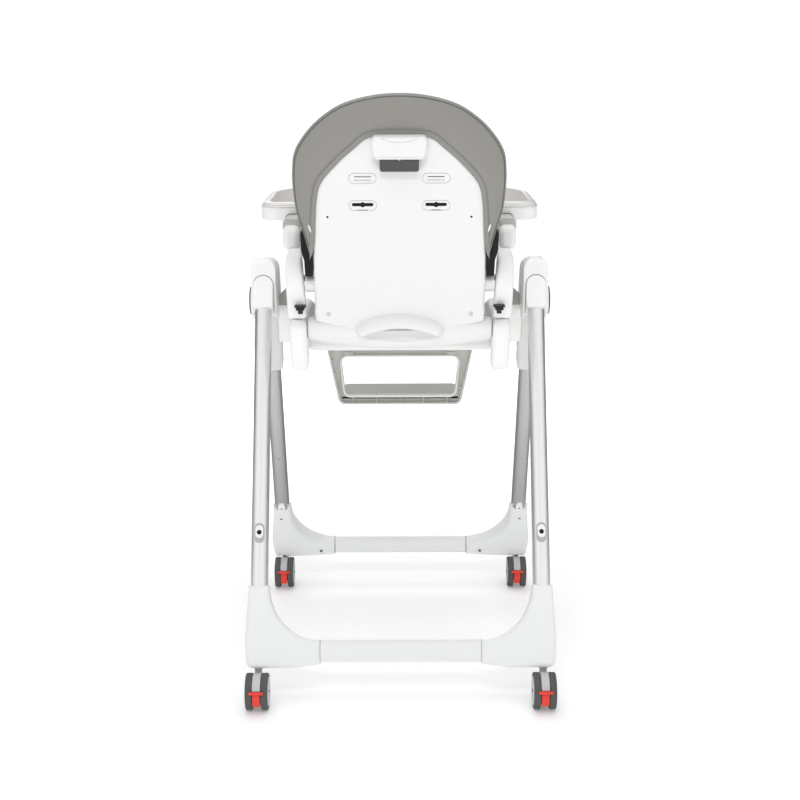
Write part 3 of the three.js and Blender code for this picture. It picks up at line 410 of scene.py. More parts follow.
floor_bm = bmesh.new()
bmesh.ops.create_grid(floor_bm, x_segments=8, y_segments=8, size=3.2)
studio_floor = as_object(floor_bm, "studio_floor")
floor_paint = bpy.data.materials.new("floor_paint")
floor_paint.use_nodes = True
tree = floor_paint.node_tree
floor_place = node(tree, "TexCoord")["Object"]
floor_reach = node(tree, "VectorMath", {0: floor_place}, operation="LENGTH")["Value"]
floor_dim = node(tree, "Mix", {"Factor": ray_is(tree, "Glossy"), "A": 1.0,
                               "B": dark_ahead(tree, floor_place, 1.0, 0.2, 0.3, -0.7)})["Result"]
floor_tone = node(tree, "VectorMath", {0: (0.96, 0.96, 0.96), "Scale": floor_dim}, operation="SCALE")
fill(tree, tree.nodes["Principled BSDF"], {
    "Roughness": 0.9, "Specular IOR Level": 0.1, "Base Color": floor_tone["Vector"],
    "Emission Color": smooth_range(tree, floor_reach, 0.5, 1.9, 0.17, 0.8), "Emission Strength": floor_dim})
studio_floor.data.materials.append(floor_paint)

WHITE = (1, 1, 1, 1)
sky = bpy.data.worlds.new("studio_sky")
sky.use_nodes = True
bpy.context.scene.world = sky
tree = sky.node_tree
sky_light = tree.nodes["Background"]
fill(tree, sky_light, {"Color": WHITE, "Strength": 0.49})
sky_seen = node(tree, "Background", {"Color": WHITE, "Strength": 1.05})
sky_way = node(tree, "TexCoord")["Generated"]
sky_mirrored = node(tree, "Background", {"Strength": dark_ahead(tree, sky_way, 1.05, 0.2, 0.2, -0.35)})
by_mirror = node(tree, "MixShader", {0: ray_is(tree, "Glossy"), 1: sky_light.outputs[0], 2: sky_mirrored[0]})
by_ray = node(tree, "MixShader", {0: ray_is(tree, "Camera"), 1: by_mirror[0], 2: sky_seen[0]})
fill(tree, tree.nodes["World Output"], {"Surface": by_ray[0]})


def panel_light(name, place, aim, size, power):
    data = bpy.data.lights.new(name, "AREA")
    data.shape = "RECTANGLE"
    data.size, data.size_y = size
    data.energy = power
    light = bpy.data.objects.new(name, data)
    light.location = place
    light.rotation_euler = (Vector(aim) - Vector(place)).to_track_quat("-Z", "Y").to_euler()
    bpy.context.scene.collection.objects.link(light)
    return light


panel_light("overhead", (0, 0.2, 3.4), (0, 0, 0), (3.4, 3.4), 41)
for side, sign in SIDES:
    panel_light(f"rear_softbox_{side}", (2.5 * sign, 3.4, 2.0), (0, 0, 0.75), (4.9, 2.0), 8)
rear_key = panel_light("rear_key", (0.1, 3.1, 3.0), (0, 0, 0.1), (1.3, 0.4), 27)
rear_key.visible_glossy = False
panel_light("front_fill", (0.6, -4.0, 2.4), (0, 0, 0.7), (2.6, 2.0), 30)
print("camera lens", camera_data.lens, "lights", len(bpy.data.lights))

# %% [markdown]
# New plastic is never one flat colour. Its colour and gloss drift a little over a hand's width, and a fine
# spark-eroded grain breaks up the reflections. The same effect serves every plastic, so it is a node
# group with named inputs: a large soft noise gives the drift and a fine one gives the grain.

# %% Shared effect: moulded grain
def group_with(name, inputs, outputs):
    """An empty node group; inputs hold each name with its default, or None for a vector."""
    group = bpy.data.node_groups.new(name, "ShaderNodeTree")
    for label, value in inputs.items():
        kind = "NodeSocketVector" if value is None else "NodeSocketFloat"
        socket = group.interface.new_socket(name=label, in_out="INPUT", socket_type=kind)
        if value is not None:
            socket.default_value = value
    for label in outputs:
        group.interface.new_socket(name=label, in_out="OUTPUT", socket_type="NodeSocketFloat")
    return group, group.nodes.new("NodeGroupInput").outputs, group.nodes.new("NodeGroupOutput")


def noise(tree, vector, scale, detail=2.0, rough=0.5):
    return node(tree, "TexNoise", {"Detail": detail, "Roughness": rough, "Vector": vector, "Scale": scale})


grain_group, given, wanted = group_with("moulded_grain", {"Vector": None, "Drift Scale": 7.0, "Grain Scale": 1400.0},
                                        ("Drift", "Grain"))
drift = noise(grain_group, given["Vector"], given["Drift Scale"], 3.0)["Fac"]
spread = node(grain_group, "MapRange", {"From Min": 0.3, "From Max": 0.7, "Value": drift})
fill(grain_group, wanted, {"Drift": spread["Result"],
                           "Grain": noise(grain_group, given["Vector"], given["Grain Scale"])["Fac"]})
print("grain nodes:", len(grain_group.nodes))

# %% [markdown]
# The padded cover is leatherette: small rounded pebbles divided by fine creases, with softer cloudy
# patches where the sheet was pressed. Voronoi cells give the pebbles and a noise bends them, so that no
# two rows line up.

# %% Shared effect: leatherette pebbles
pebble_group, given, wanted = group_with("leatherette_pebbles", {"Vector": None, "Pebble Scale": 900.0},
                                         ("Height", "Patch"))
wander = noise(pebble_group, given["Vector"], 160.0)["Color"]
bend = node(pebble_group, "VectorMath", {0: wander, 1: (0.0016, 0.0016, 0.0016), 2: given["Vector"]},
            operation="MULTIPLY_ADD")
cells = node(pebble_group, "TexVoronoi", {"Smoothness": 0.6, "Vector": bend["Vector"],
                                          "Scale": given["Pebble Scale"]}, feature="SMOOTH_F1")
fill(pebble_group, wanted, {"Height": cells["Distance"],
                            "Patch": noise(pebble_group, given["Vector"], 9.0, 4.0, 0.6)["Fac"]})
print("pebble nodes:", len(pebble_group.nodes))

# %% [markdown]
# Drawn aluminium tube has faint lines along its length. Stretching a noise along the tube gives them. The
# legs lean, so the vector is turned by a Mapping node first, one way for the front legs and the other way
# for the rear ones.

# %% Shared effect: drawn lines
drawn_group, given, wanted = group_with("drawn_lines", {"Vector": None}, ("Lines", "Patch"))
thin = node(drawn_group, "VectorMath", {0: given["Vector"], 1: (1500, 1500, 9)}, operation="MULTIPLY")
fill(drawn_group, wanted, {"Lines": noise(drawn_group, thin["Vector"], 1.0, 3.0)["Fac"],
                           "Patch": noise(drawn_group, given["Vector"], 14.0, 3.0)["Fac"]})
print("line nodes:", len(drawn_group.nodes))

# %% [markdown]
# Every finish is built alike: one output of its effect mixes two tones, one sets the gloss, and one raises
# the bump. A finish also carries the name of the material slot that it stands for.

# %% Materials from the shared effects
def finish_from(name, slot, group, tones, gloss, bump, turn=None, scales=(), **surface):
    """tones: output, dark and light colour; gloss: output, least and most roughness; bump: output, strength, depth."""
    finish = bpy.data.materials.new(name)
    finish.use_nodes = True
    finish["slot"] = slot
    tree = finish.node_tree
    vector = node(tree, "TexCoord")["Object"]
    if turn is not None:
        vector = node(tree, "Mapping", {"Rotation": (turn, 0, 0), "Vector": vector})["Vector"]
    effect = node(tree, "Group", {"Vector": vector, **dict(scales)}, node_tree=group)
    colour = node(tree, "Mix", {"Factor": effect[tones[0]], "A": tones[1], "B": tones[2]}, data_type="RGBA")
    rough = node(tree, "MapRange", {"Value": effect[gloss[0]], "To Min": gloss[1], "To Max": gloss[2]})
    relief = node(tree, "Bump", {"Height": effect[bump[0]], "Strength": bump[1], "Distance": bump[2]})
    fill(tree, tree.nodes["Principled BSDF"], {"Base Color": colour["Result"],
                                               "Roughness": rough["Result"],
                                               "Normal": relief["Normal"], **surface})
    return finish


def moulded(name, slot, colour, rough=0.42, drift=0.03, grain=0.10, coat=0.0):
    tone = linear(*colour)
    darker = tuple(c * (1 - drift) for c in tone[:3]) + (1,)
    return finish_from(name, slot, grain_group, ("Drift", darker, tone), ("Drift", rough - 0.04, rough + 0.05),
                       ("Grain", grain, 0.0004), **{"Coat Weight": coat, "Coat Roughness": 0.2})


def leatherette(name, slot, colour, deep, rough=0.5, pebbles=900.0):
    return finish_from(name, slot, pebble_group, ("Patch", linear(*deep), linear(*colour)),
                       ("Patch", rough - 0.06, rough + 0.06), ("Height", 0.25, 0.0003),
                       scales={"Pebble Scale": pebbles}, **{"Sheen Weight": 0.12})


def drawn_metal(name, slot, colour, dull, turn, rough=0.3):
    return finish_from(name, slot, drawn_group, ("Lines", linear(*dull), linear(*colour)),
                       ("Patch", rough - 0.05, rough + 0.08), ("Lines", 0.08, 0.0002), turn=turn, Metallic=1.0)


shell_white = moulded("shell_white", "shell_plastic", (235, 235, 235), rough=0.34, drift=0.012, grain=0.03)
body_white = moulded("body_white", "white_plastic", (244, 244, 243), rough=0.42, drift=0.02, grain=0.06)
foot_grey = moulded("foot_grey", "foot_plastic", (238, 240, 240), rough=0.5, drift=0.02, grain=0.10)
bar_grey = moulded("bar_grey", "crossbar_paint", (237, 239, 237), rough=0.38, drift=0.02, grain=0.04)
plate_grey = moulded("plate_grey", "leg_plate", (178, 180, 181), rough=0.4, grain=0.05)
dark_grey = moulded("dark_grey", "dark_plastic", (72, 72, 72), rough=0.5, drift=0.10, grain=0.12)
black_plastic = moulded("black_plastic", "black_trim", (26, 26, 26), rough=0.5, drift=0.15, grain=0.12)
caster_silver = moulded("caster_silver", "caster_body", (196, 198, 200), rough=0.4, grain=0.05)
tread_grey = moulded("tread_grey", "wheel", (88, 88, 88), rough=0.72, drift=0.16, grain=0.25)
brake_red = moulded("brake_red", "brake_red", (238, 66, 50), rough=0.4, drift=0.06, grain=0.05)
warm_grey = moulded("warm_grey", "grey_plastic", (205, 203, 198), rough=0.45, drift=0.03, grain=0.08)
# The armrest is a greyer copy of the white plastic: painted shade under the tray.
armrest_shaded_white = moulded("armrest_shaded_white", "white_plastic", (226, 226, 224), rough=0.42, drift=0.03, grain=0.06)
# The carriage sleeve is a greyer copy of the white plastic: painted shade under the seat.
sleeve_shaded_white = moulded("sleeve_shaded_white", "white_plastic", (222, 222, 220), rough=0.42, drift=0.03, grain=0.06)
rest_grey = moulded("rest_grey", "grey_plastic", (214, 212, 208), rough=0.45, drift=0.03, grain=0.08)
# A darker grey that paints the shade under the tray, on the armrest's end block.
under_tray_shade_grey = moulded("under_tray_shade_grey", "grey_plastic", (192, 190, 186), rough=0.45, drift=0.03, grain=0.08)
rest_pale = moulded("rest_pale", "grey_plastic", (236, 235, 232), rough=0.42, drift=0.03, grain=0.06)
# A darker grey that paints deep shade: on the carriage web and on the footrest step.
painted_shade_grey = moulded("painted_shade_grey", "grey_plastic", (168, 168, 165), rough=0.5, drift=0.05, grain=0.08)
tray_white = moulded("tray_white", "tray_clear", (224, 222, 219), rough=0.2, drift=0.015, grain=0.02, coat=0.3)
cover_grey = leatherette("cover_grey", "cover_fabric", (143, 141, 136), (135, 133, 128))
pad_grey = leatherette("pad_grey", "seat_fabric", (128, 128, 124), (118, 118, 114))
thread_grey = leatherette("thread_grey", "cover_fabric", (104, 104, 100), (88, 88, 85), pebbles=2500.0)
webbing_black = leatherette("webbing_black", "black_trim", (38, 38, 38), (24, 24, 24), rough=0.75, pebbles=1500.0)
lining_black = leatherette("lining_black", "black_trim", (16, 16, 16), (10, 10, 10), rough=0.9, pebbles=1500.0)
# The front legs' metal is a darker copy of the rear legs' metal: painted shade from the seat above the front legs.
tube_front_shaded = drawn_metal("tube_front_shaded", "leg_tube", (210, 211, 211), (197, 198, 198), LEG_TILT, rough=0.4)
tube_rear = drawn_metal("tube_rear", "leg_tube", (243, 244, 243), (228, 229, 228), -LEG_TILT, rough=0.34)
bright_steel = drawn_metal("bright_steel", "steel", (205, 206, 208), (180, 181, 184), 0.0, rough=0.22)
print("materials:", len(bpy.data.materials))

# %% [markdown]
# The four legs are drawn aluminium tubes with an oval section, wider fore and aft than across. An extruded
# oval with round corners gives the section; the ends stay hidden in the feet and in the hinge sleeves. A
# thin dark ring round each end of a crossbar is the shut line at the foot.

# %% Leg tubes and crossbars
LEG_OFFSET = 46
TILT_COS, TILT_SIN = math.cos(LEG_TILT), math.sin(LEG_TILT)


def down(height):
    """Height on the tube's middle line, in its leaning frame, of a point above the floor."""
    return (height - hinge.z - LEG_OFFSET * TILT_SIN) / TILT_COS


TUBE_LOW = down(120)
frames = (("front", -1, front_frame, tube_front_shaded), ("rear", 1, rear_frame, tube_rear))
for end, fore, lean, finish in frames:
    both_sides(f"{end}_tube", lambda: plate(oval(31, 38, TRACK, fore * LEG_OFFSET), TUBE_LOW, 20, "z", steps=12),
               f"{end}_frame", finish, f"{end}_leg_{{side}}", lean)
    bar_high, bar_middle = (38, 90.5) if fore < 0 else (40, 95)
    bar = plate(oval(27, bar_high, fore * LEG_OFFSET, down(bar_middle)), -180, 180, "x", steps=10)
    piece(f"{end}_bar", bar, f"{end}_frame", bar_grey, [f"{end}_crossbar"], lean)
    shut_outline = oval(28.2, bar_high + 0.9, fore * LEG_OFFSET, down(bar_middle))
    both_sides(f"{end}_shut_line", lambda: plate(shut_outline, 145.7, 146.8, "x", steps=10), f"{end}_frame",
               dark_grey if fore < 0 else plate_grey, lean=lean)
print("tube length:", round(20 - TUBE_LOW), "mm")

# %% [markdown]
# Each corner foot is an L-shaped moulding that swallows the end of a tube, the end of the crossbar and the
# caster's stem. Its inner edge is one long quarter-round. The outline carries that curve as short chords,
# and a wide soft rim turns the slab into a rounded casting.

# %% Corner feet
FOOT_TOPS, FOOT_ENDS, FOOT_SOLES = {-1: 188, 1: 204}, {-1: 103.5, 1: 112.5}, {-1: 70, 1: 67}
FOOT_INNER = 146
SLEEVE_INNER = TRACK - 18.6


def foot_outline(fore):
    foot_top, end_top, sole = FOOT_TOPS[fore], FOOT_ENDS[fore], FOOT_SOLES[fore]
    chords = 14
    inner = []
    for i in range(chords + 1):
        turn = math.pi / 2 * i / chords
        inner.append((FOOT_INNER + (SLEEVE_INNER - FOOT_INNER) * math.cos(turn),
                      down(foot_top - (foot_top - end_top) * math.sin(turn)), 0))
    foot = inner + [(FOOT_INNER, down(74), 0), (FOOT_INNER + 50, down(sole), 60), (TRACK + 20.5, down(sole + 1), 12),
                    (TRACK + 24.5 - fore, down(115), 40), (TRACK + 18.2, down(foot_top), 0)]
    if fore < 0:
        foot = [(SLEEVE_INNER, down(foot_top + 36), 0)] + foot + [(TRACK + 18, down(foot_top + 36), 0)]
    return foot


def foot_body(fore):
    y = fore * LEG_OFFSET
    body = plate(foot_outline(fore), y - 23, y + 23, "y", rim=9, rim_steps=6, steps=5)
    # The mouth and the end at the bar are trimmed after the rims are rounded. The front feet's mouth is cut
    # aslant, higher behind than in front. The sole is cut level with the floor, so that the caster can turn
    # freely under it.
    into_leg = (front_frame if fore < 0 else rear_frame).inverted()
    level = (into_leg @ Vector((0, 0, 68.4)), into_leg.to_3x3() @ Vector((0, 0, -1)))
    slant = math.radians(36) if fore < 0 else 0
    mouth = (0, y + 23, down(216)) if fore < 0 else (0, y, down(FOOT_TOPS[fore]) - 0.6)
    for point, normal in ((mouth, (0, -math.sin(slant), math.cos(slant))), ((FOOT_INNER + 0.6, 0, 0), (-1, 0, 0)),
                          level):
        bmesh.ops.bisect_plane(body, geom=body.verts[:] + body.edges[:] + body.faces[:], plane_co=point,
                               plane_no=normal, clear_outer=True, clear_inner=False)
        in_order(body)
        bmesh.ops.holes_fill(body, edges=[edge for edge in body.edges if edge.is_boundary], sides=0)
    for vert in body.verts:
        narrow = 1 - 0.30 * min(1, max(0, (SLEEVE_INNER - 10 - vert.co.x) / (SLEEVE_INNER - 10 - FOOT_INNER)))
        vert.co.y = y + (vert.co.y - y) * narrow
    if fore < 0:
        # The front feet have a round dip behind, where the spring clip sits.
        z = down(216)
        dip = plate([(TRACK - 19.5, z - 2, 0), (TRACK - 10, z - 16, 8), (TRACK + 10, z - 16, 8),
                     (TRACK + 19.5, z - 2, 0), (TRACK + 19.5, z + 30, 0), (TRACK - 19.5, z + 30, 0)],
                    y + 14, y + 40, "y", steps=6)
        body = carved(body, dip)
    in_order(body)
    return body


for end, fore, lean, _ in frames:
    both_sides(f"{end}_foot_moulding", lambda: foot_body(fore), f"{end}_frame", foot_grey,
               f"{end}_foot_{{side}}", lean, crisp=32)
print("feet: 4, tops at", FOOT_TOPS, "mm")


# %% [markdown]
# Small things sell a moulding: the front feet have a white spring clip in their dip, three screw pockets
# drawn as dark grey patches that paint the shade in them, and a rivet higher up on the tube. Each stands a
# little proud of the surface that it sits on.

# %% Clips, rivets and screw pockets
CLIP_FACE = 18.6 - LEG_OFFSET
PLATE_FACE = LEG_OFFSET + 19


def front_clip():
    half = [(6.5, 200.5, 4), (8, 208, 4), (5, 218, 3)]
    corners = [(-6.5, 200.5, 4)] + half + [(-5, 218, 3), (-8, 208, 4)]
    return plate([(TRACK + x, down(height), r) for x, height, r in corners], CLIP_FACE, CLIP_FACE + 6, "y", rim=1.6)


def pocket(x, height):
    z = down(height)
    return plate([(x - 3.6, z - 1.4, 1.2), (x + 3.6, z - 1.4, 1.2), (x + 1.8, z + 1.7, 1.5), (x - 1.8, z + 1.7, 1.5)],
                 20 - LEG_OFFSET, 23.3 - LEG_OFFSET, "y")


def leg_oval(width, length, height, low, high, rim):
    return plate(oval(width, length, TRACK, down(height)), PLATE_FACE + low, PLATE_FACE + high, "y", rim=rim,
                 rims=("high",), steps=10)


both_sides("foot_clip", front_clip, "front_frame", body_white, lean=front_frame)
# A dark disc on the clip paints the shade in its hole.
both_sides("clip_hole_shade", lambda: rod(1.7, CLIP_FACE + 3, CLIP_FACE + 6.3, "y", TRACK, down(206), sides=20),
           "front_frame", dark_grey, lean=front_frame)
# The dark grey pockets are painted shade in the screw recesses.
both_sides("foot_pocket_shade", lambda: gather(pocket(261, 178), pocket(177, 90), pocket(259, 79)), "front_frame",
           dark_grey, lean=front_frame)
both_sides("leg_rivet", lambda: rod(3.2, 17 - LEG_OFFSET, 19.6 - LEG_OFFSET, "y", TRACK, down(330), rim=0.8),
           "front_frame", bright_steel, lean=front_frame)
both_sides("catch_plate", lambda: leg_oval(18, 37, 291, -2.5, 2.0, 1.4), "rear_frame", plate_grey,
           "rear_leg_plate_{side}", rear_frame)
both_sides("catch_panel", lambda: leg_oval(14.4, 24, 293, 0, 2.8, 0.8), "rear_frame", body_white, lean=rear_frame)
# A black disc on the catch panel paints the shade in the lock pin's hole.
both_sides("catch_hole_shade", lambda: rod(4.3, LEG_OFFSET + 17, LEG_OFFSET + 22.1, "y", TRACK, down(292)),
           "rear_frame", lining_black, lean=rear_frame)
print("small fittings on", len(SIDES), "sides")

# %% [markdown]
# The fold hinge has three mouldings: a domed cap on the front leg, a knuckle on the rear leg that turns
# inside it, and a round button outside that unlocks the fold. The cap is a slab in the side view whose two
# rims are rounded so deeply that they meet in a dome.

# %% Fold hinge
CHEEK = 23.25
CHEEK_OUTER, CHEEK_INNER = TRACK + CHEEK, TRACK - CHEEK
SLEEVE_FACE, SLEEVE_LENGTH = 22.5, 31


def from_hinge(points):
    return [(p[0] + hinge.y, p[1] + hinge.z, p[2] if len(p) > 2 else 0) for p in points]


def leaned_by(fore, y, z, r=0):
    return (y * TILT_COS - fore * z * TILT_SIN, fore * y * TILT_SIN + z * TILT_COS, r)


def hinge_cap():
    side_view = from_hinge([
        leaned_by(-1, -LEG_OFFSET - SLEEVE_FACE, -SLEEVE_LENGTH, 5), leaned_by(-1, -LEG_OFFSET - SLEEVE_FACE, 34, 34),
        (6, 87, 60), (53, 88, 32), (53, 50, 8), (35, -34, 30), (-16, -34, 14),
        leaned_by(-1, -LEG_OFFSET + SLEEVE_FACE, -SLEEVE_LENGTH, 3)])
    arch = rect(CHEEK_INNER, CHEEK_OUTER, hinge.z - 70, hinge.z + 88, 0, 0, CHEEK - 0.1, CHEEK - 0.1)
    slot = (TRACK - 19.4, TRACK + 19.4)
    room = from_hinge([leaned_by(-1, -1, -110), leaned_by(-1, -1, 18), leaned_by(1, 18, 12), leaned_by(1, 130, 12),
                       (130, -120)])
    recess = plate(rect(*slot, -20, SLEEVE_LENGTH + 0.9, 0, 0, 19.3, 19.3), 10, 130, "y", steps=14)
    tube_hole = plate(oval(31.6, 38.6, TRACK, -LEG_OFFSET), -100, 19, "z", steps=10)
    dome = carved(plate(side_view, CHEEK_INNER, CHEEK_OUTER, "x", steps=10),
                  plate(arch, hinge.y - 150, hinge.y + 150, "y", steps=14), how="INTERSECT")
    return softened(carved(dome, plate(room, *slot, "x"), placed(recess, rear_frame),
                           placed(tube_hole, front_frame)), 1.6)


def knuckle():
    half = 18.5
    arch = rect(TRACK - half, TRACK + half, -SLEEVE_LENGTH, SLEEVE_LENGTH, 0, 0, half - 0.1, half - 0.1)
    sleeve = plate(arch, LEG_OFFSET - SLEEVE_FACE - 12, LEG_OFFSET + SLEEVE_FACE, "y", rim=1.6, rims=("high",),
                   steps=14)
    return gather(sleeve, rod(21, TRACK - half + 0.2, TRACK + half - 0.2, "x", 0, 0, sides=48))


both_sides("hinge_cap", hinge_cap, "front_frame", body_white, "hinge_housing_{side}")
both_sides("hinge_knuckle_sleeve", knuckle, "rear_frame", body_white, "hinge_knuckle_{side}", rear_frame)

BUTTON_FACE = 289.55


def button_disc():
    profile = [(0, 0), (17, 0), (17.6, 0.7), (18.4, 0.7), (19, 0), (25.6, 0.3), (27, 1.3), (27.5, 2.4), (27.5, 3.6),
               (6, 3.6), (6, 8), (0, 8)]
    return turned([(r, BUTTON_FACE - depth) for r, depth in profile], hinge.y, hinge.z)


def button_ring():
    profile = [(28.1, 0), (28.1, 6.4), (28.7, 7), (29.9, 7), (30.5, 6.2), (30.5, 0), (28.1, 0)]
    return turned([(r, CHEEK_OUTER - 3 + height) for r, height in profile], hinge.y, hinge.z)


both_sides("fold_button_disc", button_disc, "fold_button_{side}", dark_grey, "fold_button_{side}")
both_sides("fold_button_ring", button_ring, "front_frame", body_white)
print("hinge width:", CHEEK_OUTER - CHEEK_INNER, "mm")

# %% [markdown]
# Each caster has twin wheels on one axle, a silver fork plate between them whose stem turns in the foot,
# and a red brake to step on. The wheels are turned: a dark tread with soft shoulders and a pale hub cap
# outside. They are drawn about the axle and then moved to it, because the joint gives the axle's place.

# %% Casters
WHEEL_RADIUS, WHEEL_TRAIL = 33, 27


def moved(bm, to):
    bmesh.ops.translate(bm, verts=bm.verts[:], vec=to)
    return bm


def arc_points(radius, first, last, count):
    turns = [math.radians(first + (last - first) * i / count) for i in range(count + 1)]
    return [(radius * math.cos(turn), radius * math.sin(turn), 0) for turn in turns]


def twin(profile, sides):
    """The same turned shape on both sides of the fork."""
    return [turned([(radius, sign * depth) for radius, depth in profile], sides=sides) for sign in (1, -1)]


TREAD = [(3, 7.8), (30, 7.8), (32, 8.2), (WHEEL_RADIUS, 9.6), (WHEEL_RADIUS, 18.2), (32.6, 19.4), (31.4, 20.2),
         (27.6, 20.4), (27, 19.4), (3, 19.4), (3, 7.8)]
HUB = [(0, 20.7), (6.5, 20.7), (8, 20.1), (9.5, 19.7), (20, 20.4), (24.5, 21.2), (26, 20.8), (26.6, 19.0), (0, 19.0)]


def fork_plate():
    outline = arc_points(WHEEL_RADIUS + 0.4, 23, 128, 14) + [
        (-WHEEL_TRAIL - 8.5, 20, 5), (-WHEEL_TRAIL - 4, 2, 6), (-13, -8, 4), (-6, -10, 4), (6, -10, 4), (11.5, 6, 6)]
    stem = rod(6.9, 14, 56, "z", 0, -WHEEL_TRAIL)
    collar = rod(8.4, 33, 38.8, "z", 0, -WHEEL_TRAIL, rim=1)
    return gather(plate(outline, -7.5, 7.5, "x", rim=1.6), stem, collar)


def brake():
    sector = plate(arc_points(12, -40, 10, 4) + arc_points(32.2, 14, -36, 10), -7, 7, "x", rim=1.0)
    bar = plate(rect(30, 39, -2.6, 2.6, 1, 2, 2, 1), -13, 13, "x", rim=1.6)
    neck = plate(rect(20, 34, -2.2, 2.2, 1), -7, 7, "x", rim=0.8)
    lugs = [plate(rect(29, 33.6, -7, -2, 1), x - 1.6, x + 1.6, "x", rim=0.6) for x in (-4, 4)]
    return gather(sector, placed(gather(bar, neck, *lugs), Matrix.Rotation(math.radians(17), 4, "X")))


for end in ("front", "rear"):
    for side, _ in SIDES:
        where = f"{end}_{side}"
        axle = joint_point(f"wheel_spin_{where}")
        axle_rod = rod(3, -21.5, 21.5, "x", 0, 0, sides=20)
        for name, shape, body, finish, stands_for in (
                ("treads", gather(*twin(TREAD, 56), axle_rod), "wheels", tread_grey, ["caster_wheels_" + where]),
                ("hubs", gather(*twin(HUB, 48)), "wheels", caster_silver, []),
                ("fork", fork_plate(), "caster", caster_silver, ["caster_body_" + where]),
                ("brake", brake(), "brake", brake_red, ["brake_lever_" + where])):
            piece(f"caster_{name}_{where}", moved(shape, axle), f"{body}_{where}", finish, stands_for)
print("casters: 4, wheel diameter", 2 * WHEEL_RADIUS, "mm")

# %% [markdown]
# The seat hangs on a carriage that slides down each front leg. The carriage is a sleeve round the tube with
# an arm that reaches in to the side rail, and an oval button outside lets it go. The sleeve is drawn in the
# leg's leaning frame; the arm and its web are drawn upright. The sleeve's greyer white and the web's dark
# grey are painted shade under the seat.

# %% Height carriages
CARRIAGE_IN, CARRIAGE_OUT = TRACK - 21.5, TRACK + 25
RAIL_INNER, RAIL_OUTER, SEAT_BOTTOM = 170, 202, 612


def leg_y(fore, height):
    return hinge.y + fore * (LEG_OFFSET * TILT_COS - down(height) * TILT_SIN)


def carriage_sleeve():
    y = -LEG_OFFSET
    # The button sinks into a pocket in the sleeve's outer face.
    button_pocket = plate(oval(22.2, 46.2, y, -122), CARRIAGE_OUT - 6.5, CARRIAGE_OUT + 5, "x", steps=10)
    return carved(plate(rect(CARRIAGE_IN, CARRIAGE_OUT, y - 24, y + 24, 8, 12, 12, 8), -182, -42, "z", rim=2.5,
                        steps=8), button_pocket)


def carriage_arm():
    low, shoulder, high = SEAT_BOTTOM - 15, SEAT_BOTTOM + 38, SEAT_BOTTOM + 55
    outline = [(leg_y(-1, low) - 37, low, 10), (leg_y(-1, low) + 29, low, 10),
               (leg_y(-1, shoulder) + 28, shoulder, 10), (-36, 694, 6), (-66, 694, 6),
               (leg_y(-1, high) - 17, high, 10)]
    return plate(outline, RAIL_OUTER + 0.3, CARRIAGE_IN + 3, "x", rim=2.0)


def carriage_web():
    outline = [(RAIL_OUTER + 2, 680, 2), (CHEEK_INNER - 0.8, 680, 2), (CHEEK_INNER - 0.8, 699, 3),
               (RAIL_OUTER + 9, 722, 3), (RAIL_OUTER + 2, 722, 2)]
    return plate(outline, -62, -34, "y", rim=1.2)


def height_button():
    y, z = -LEG_OFFSET, -122
    disc = plate(oval(21.4, 45.4, y, z), CARRIAGE_OUT - 3, CARRIAGE_OUT + 2.5, "x", rim=1.6, rims=("high",), steps=10)
    ribs = [plate(rect(y - 6, y + 6, z + k - 0.8, z + k + 0.8, 0.5), CARRIAGE_OUT + 2, CARRIAGE_OUT + 3.1, "x",
                  rim=0.4, rims=("high",)) for k in (-6, 0, 6)]
    return gather(disc, *ribs)


# The sleeve's greyer white is painted shade under the seat.
both_sides("carriage_sleeve", carriage_sleeve, "seat", sleeve_shaded_white, "height_carriage_{side}", front_frame)
both_sides("carriage_arm", carriage_arm, "seat", body_white)
# The web's dark grey is painted shade where the carriage meets the rail.
both_sides("carriage_web", carriage_web, "seat", painted_shade_grey)
both_sides("height_button_cap", height_button, "height_button_{side}", warm_grey, "height_button_{side}",
           front_frame)
print("carriage sleeve:", 182 - 42, "mm long")

# %% [markdown]
# Each side rail is a deep hollow moulding with wide soft rims. Its rear end hangs down in a rounded paddle,
# a little narrower at its foot. The arm panel stands on the rail, leans
# outwards, and ends in a rounded knob under the armrest.

# %% Side rails and arm panels
ARM_LEAN, ARM_TOP = 0.06, 844.7


def rail_outline():
    return [(-196, 612, 14), (98, 612, 12), (108, 585.5, 14), (148, 585.5, 17), (160, 636, 60), (163, 681, 18),
            (108, 686, 20), (96, 690, 10), (-60, 690, 30), (-196, 660, 14)]


def tapered(bm, inward, top=684):
    """Draws a paddle in towards its foot."""
    for vert in bm.verts:
        if vert.co.y > 60:
            vert.co.x -= inward * max(0, top - vert.co.z)
    return bm


def rail_outer():
    return tapered(plate(rail_outline(), RAIL_INNER + 0.6, RAIL_OUTER + 1, "x", rim=10.5, rim_steps=7), 0.03)


def arm_panel():
    outline = [(-30, 690.3, 10), (96, 690.3, 4), (112, 684, 8), (150, 684, 8), (160, 716, 40), (165, 756, 60),
               (142, 797, 34), (64, 803, 10), (-44, 803.7, 10)]
    panel = plate(outline, 173, 203, "x", rim=7, rim_steps=5, steps=7)
    for vert in panel.verts:
        x, y, z = vert.co
        outward = (x - 173) / 30
        thinning = 0.07 * min(200, max(0, 150 - y)) * (1 - outward)
        vert.co.x += ARM_LEAN * (z - 740) + thinning + (3.8 - 0.026 * (z - 700)) * outward
    return panel


both_sides("rail_moulding", rail_outer, "seat", body_white, "side_rail_{side}")
both_sides("arm_panel_moulding", arm_panel, "seat", body_white, "arm_panel_{side}", crisp=50)
print("side rails:", RAIL_OUTER - RAIL_INNER, "mm thick")

# %% [markdown]
# The armrests are long soft-edged bars. Behind, each ends in the knob of the arm panel. A black clip joins
# the panel to the rail; on the real chair it is a folded plastic strap.

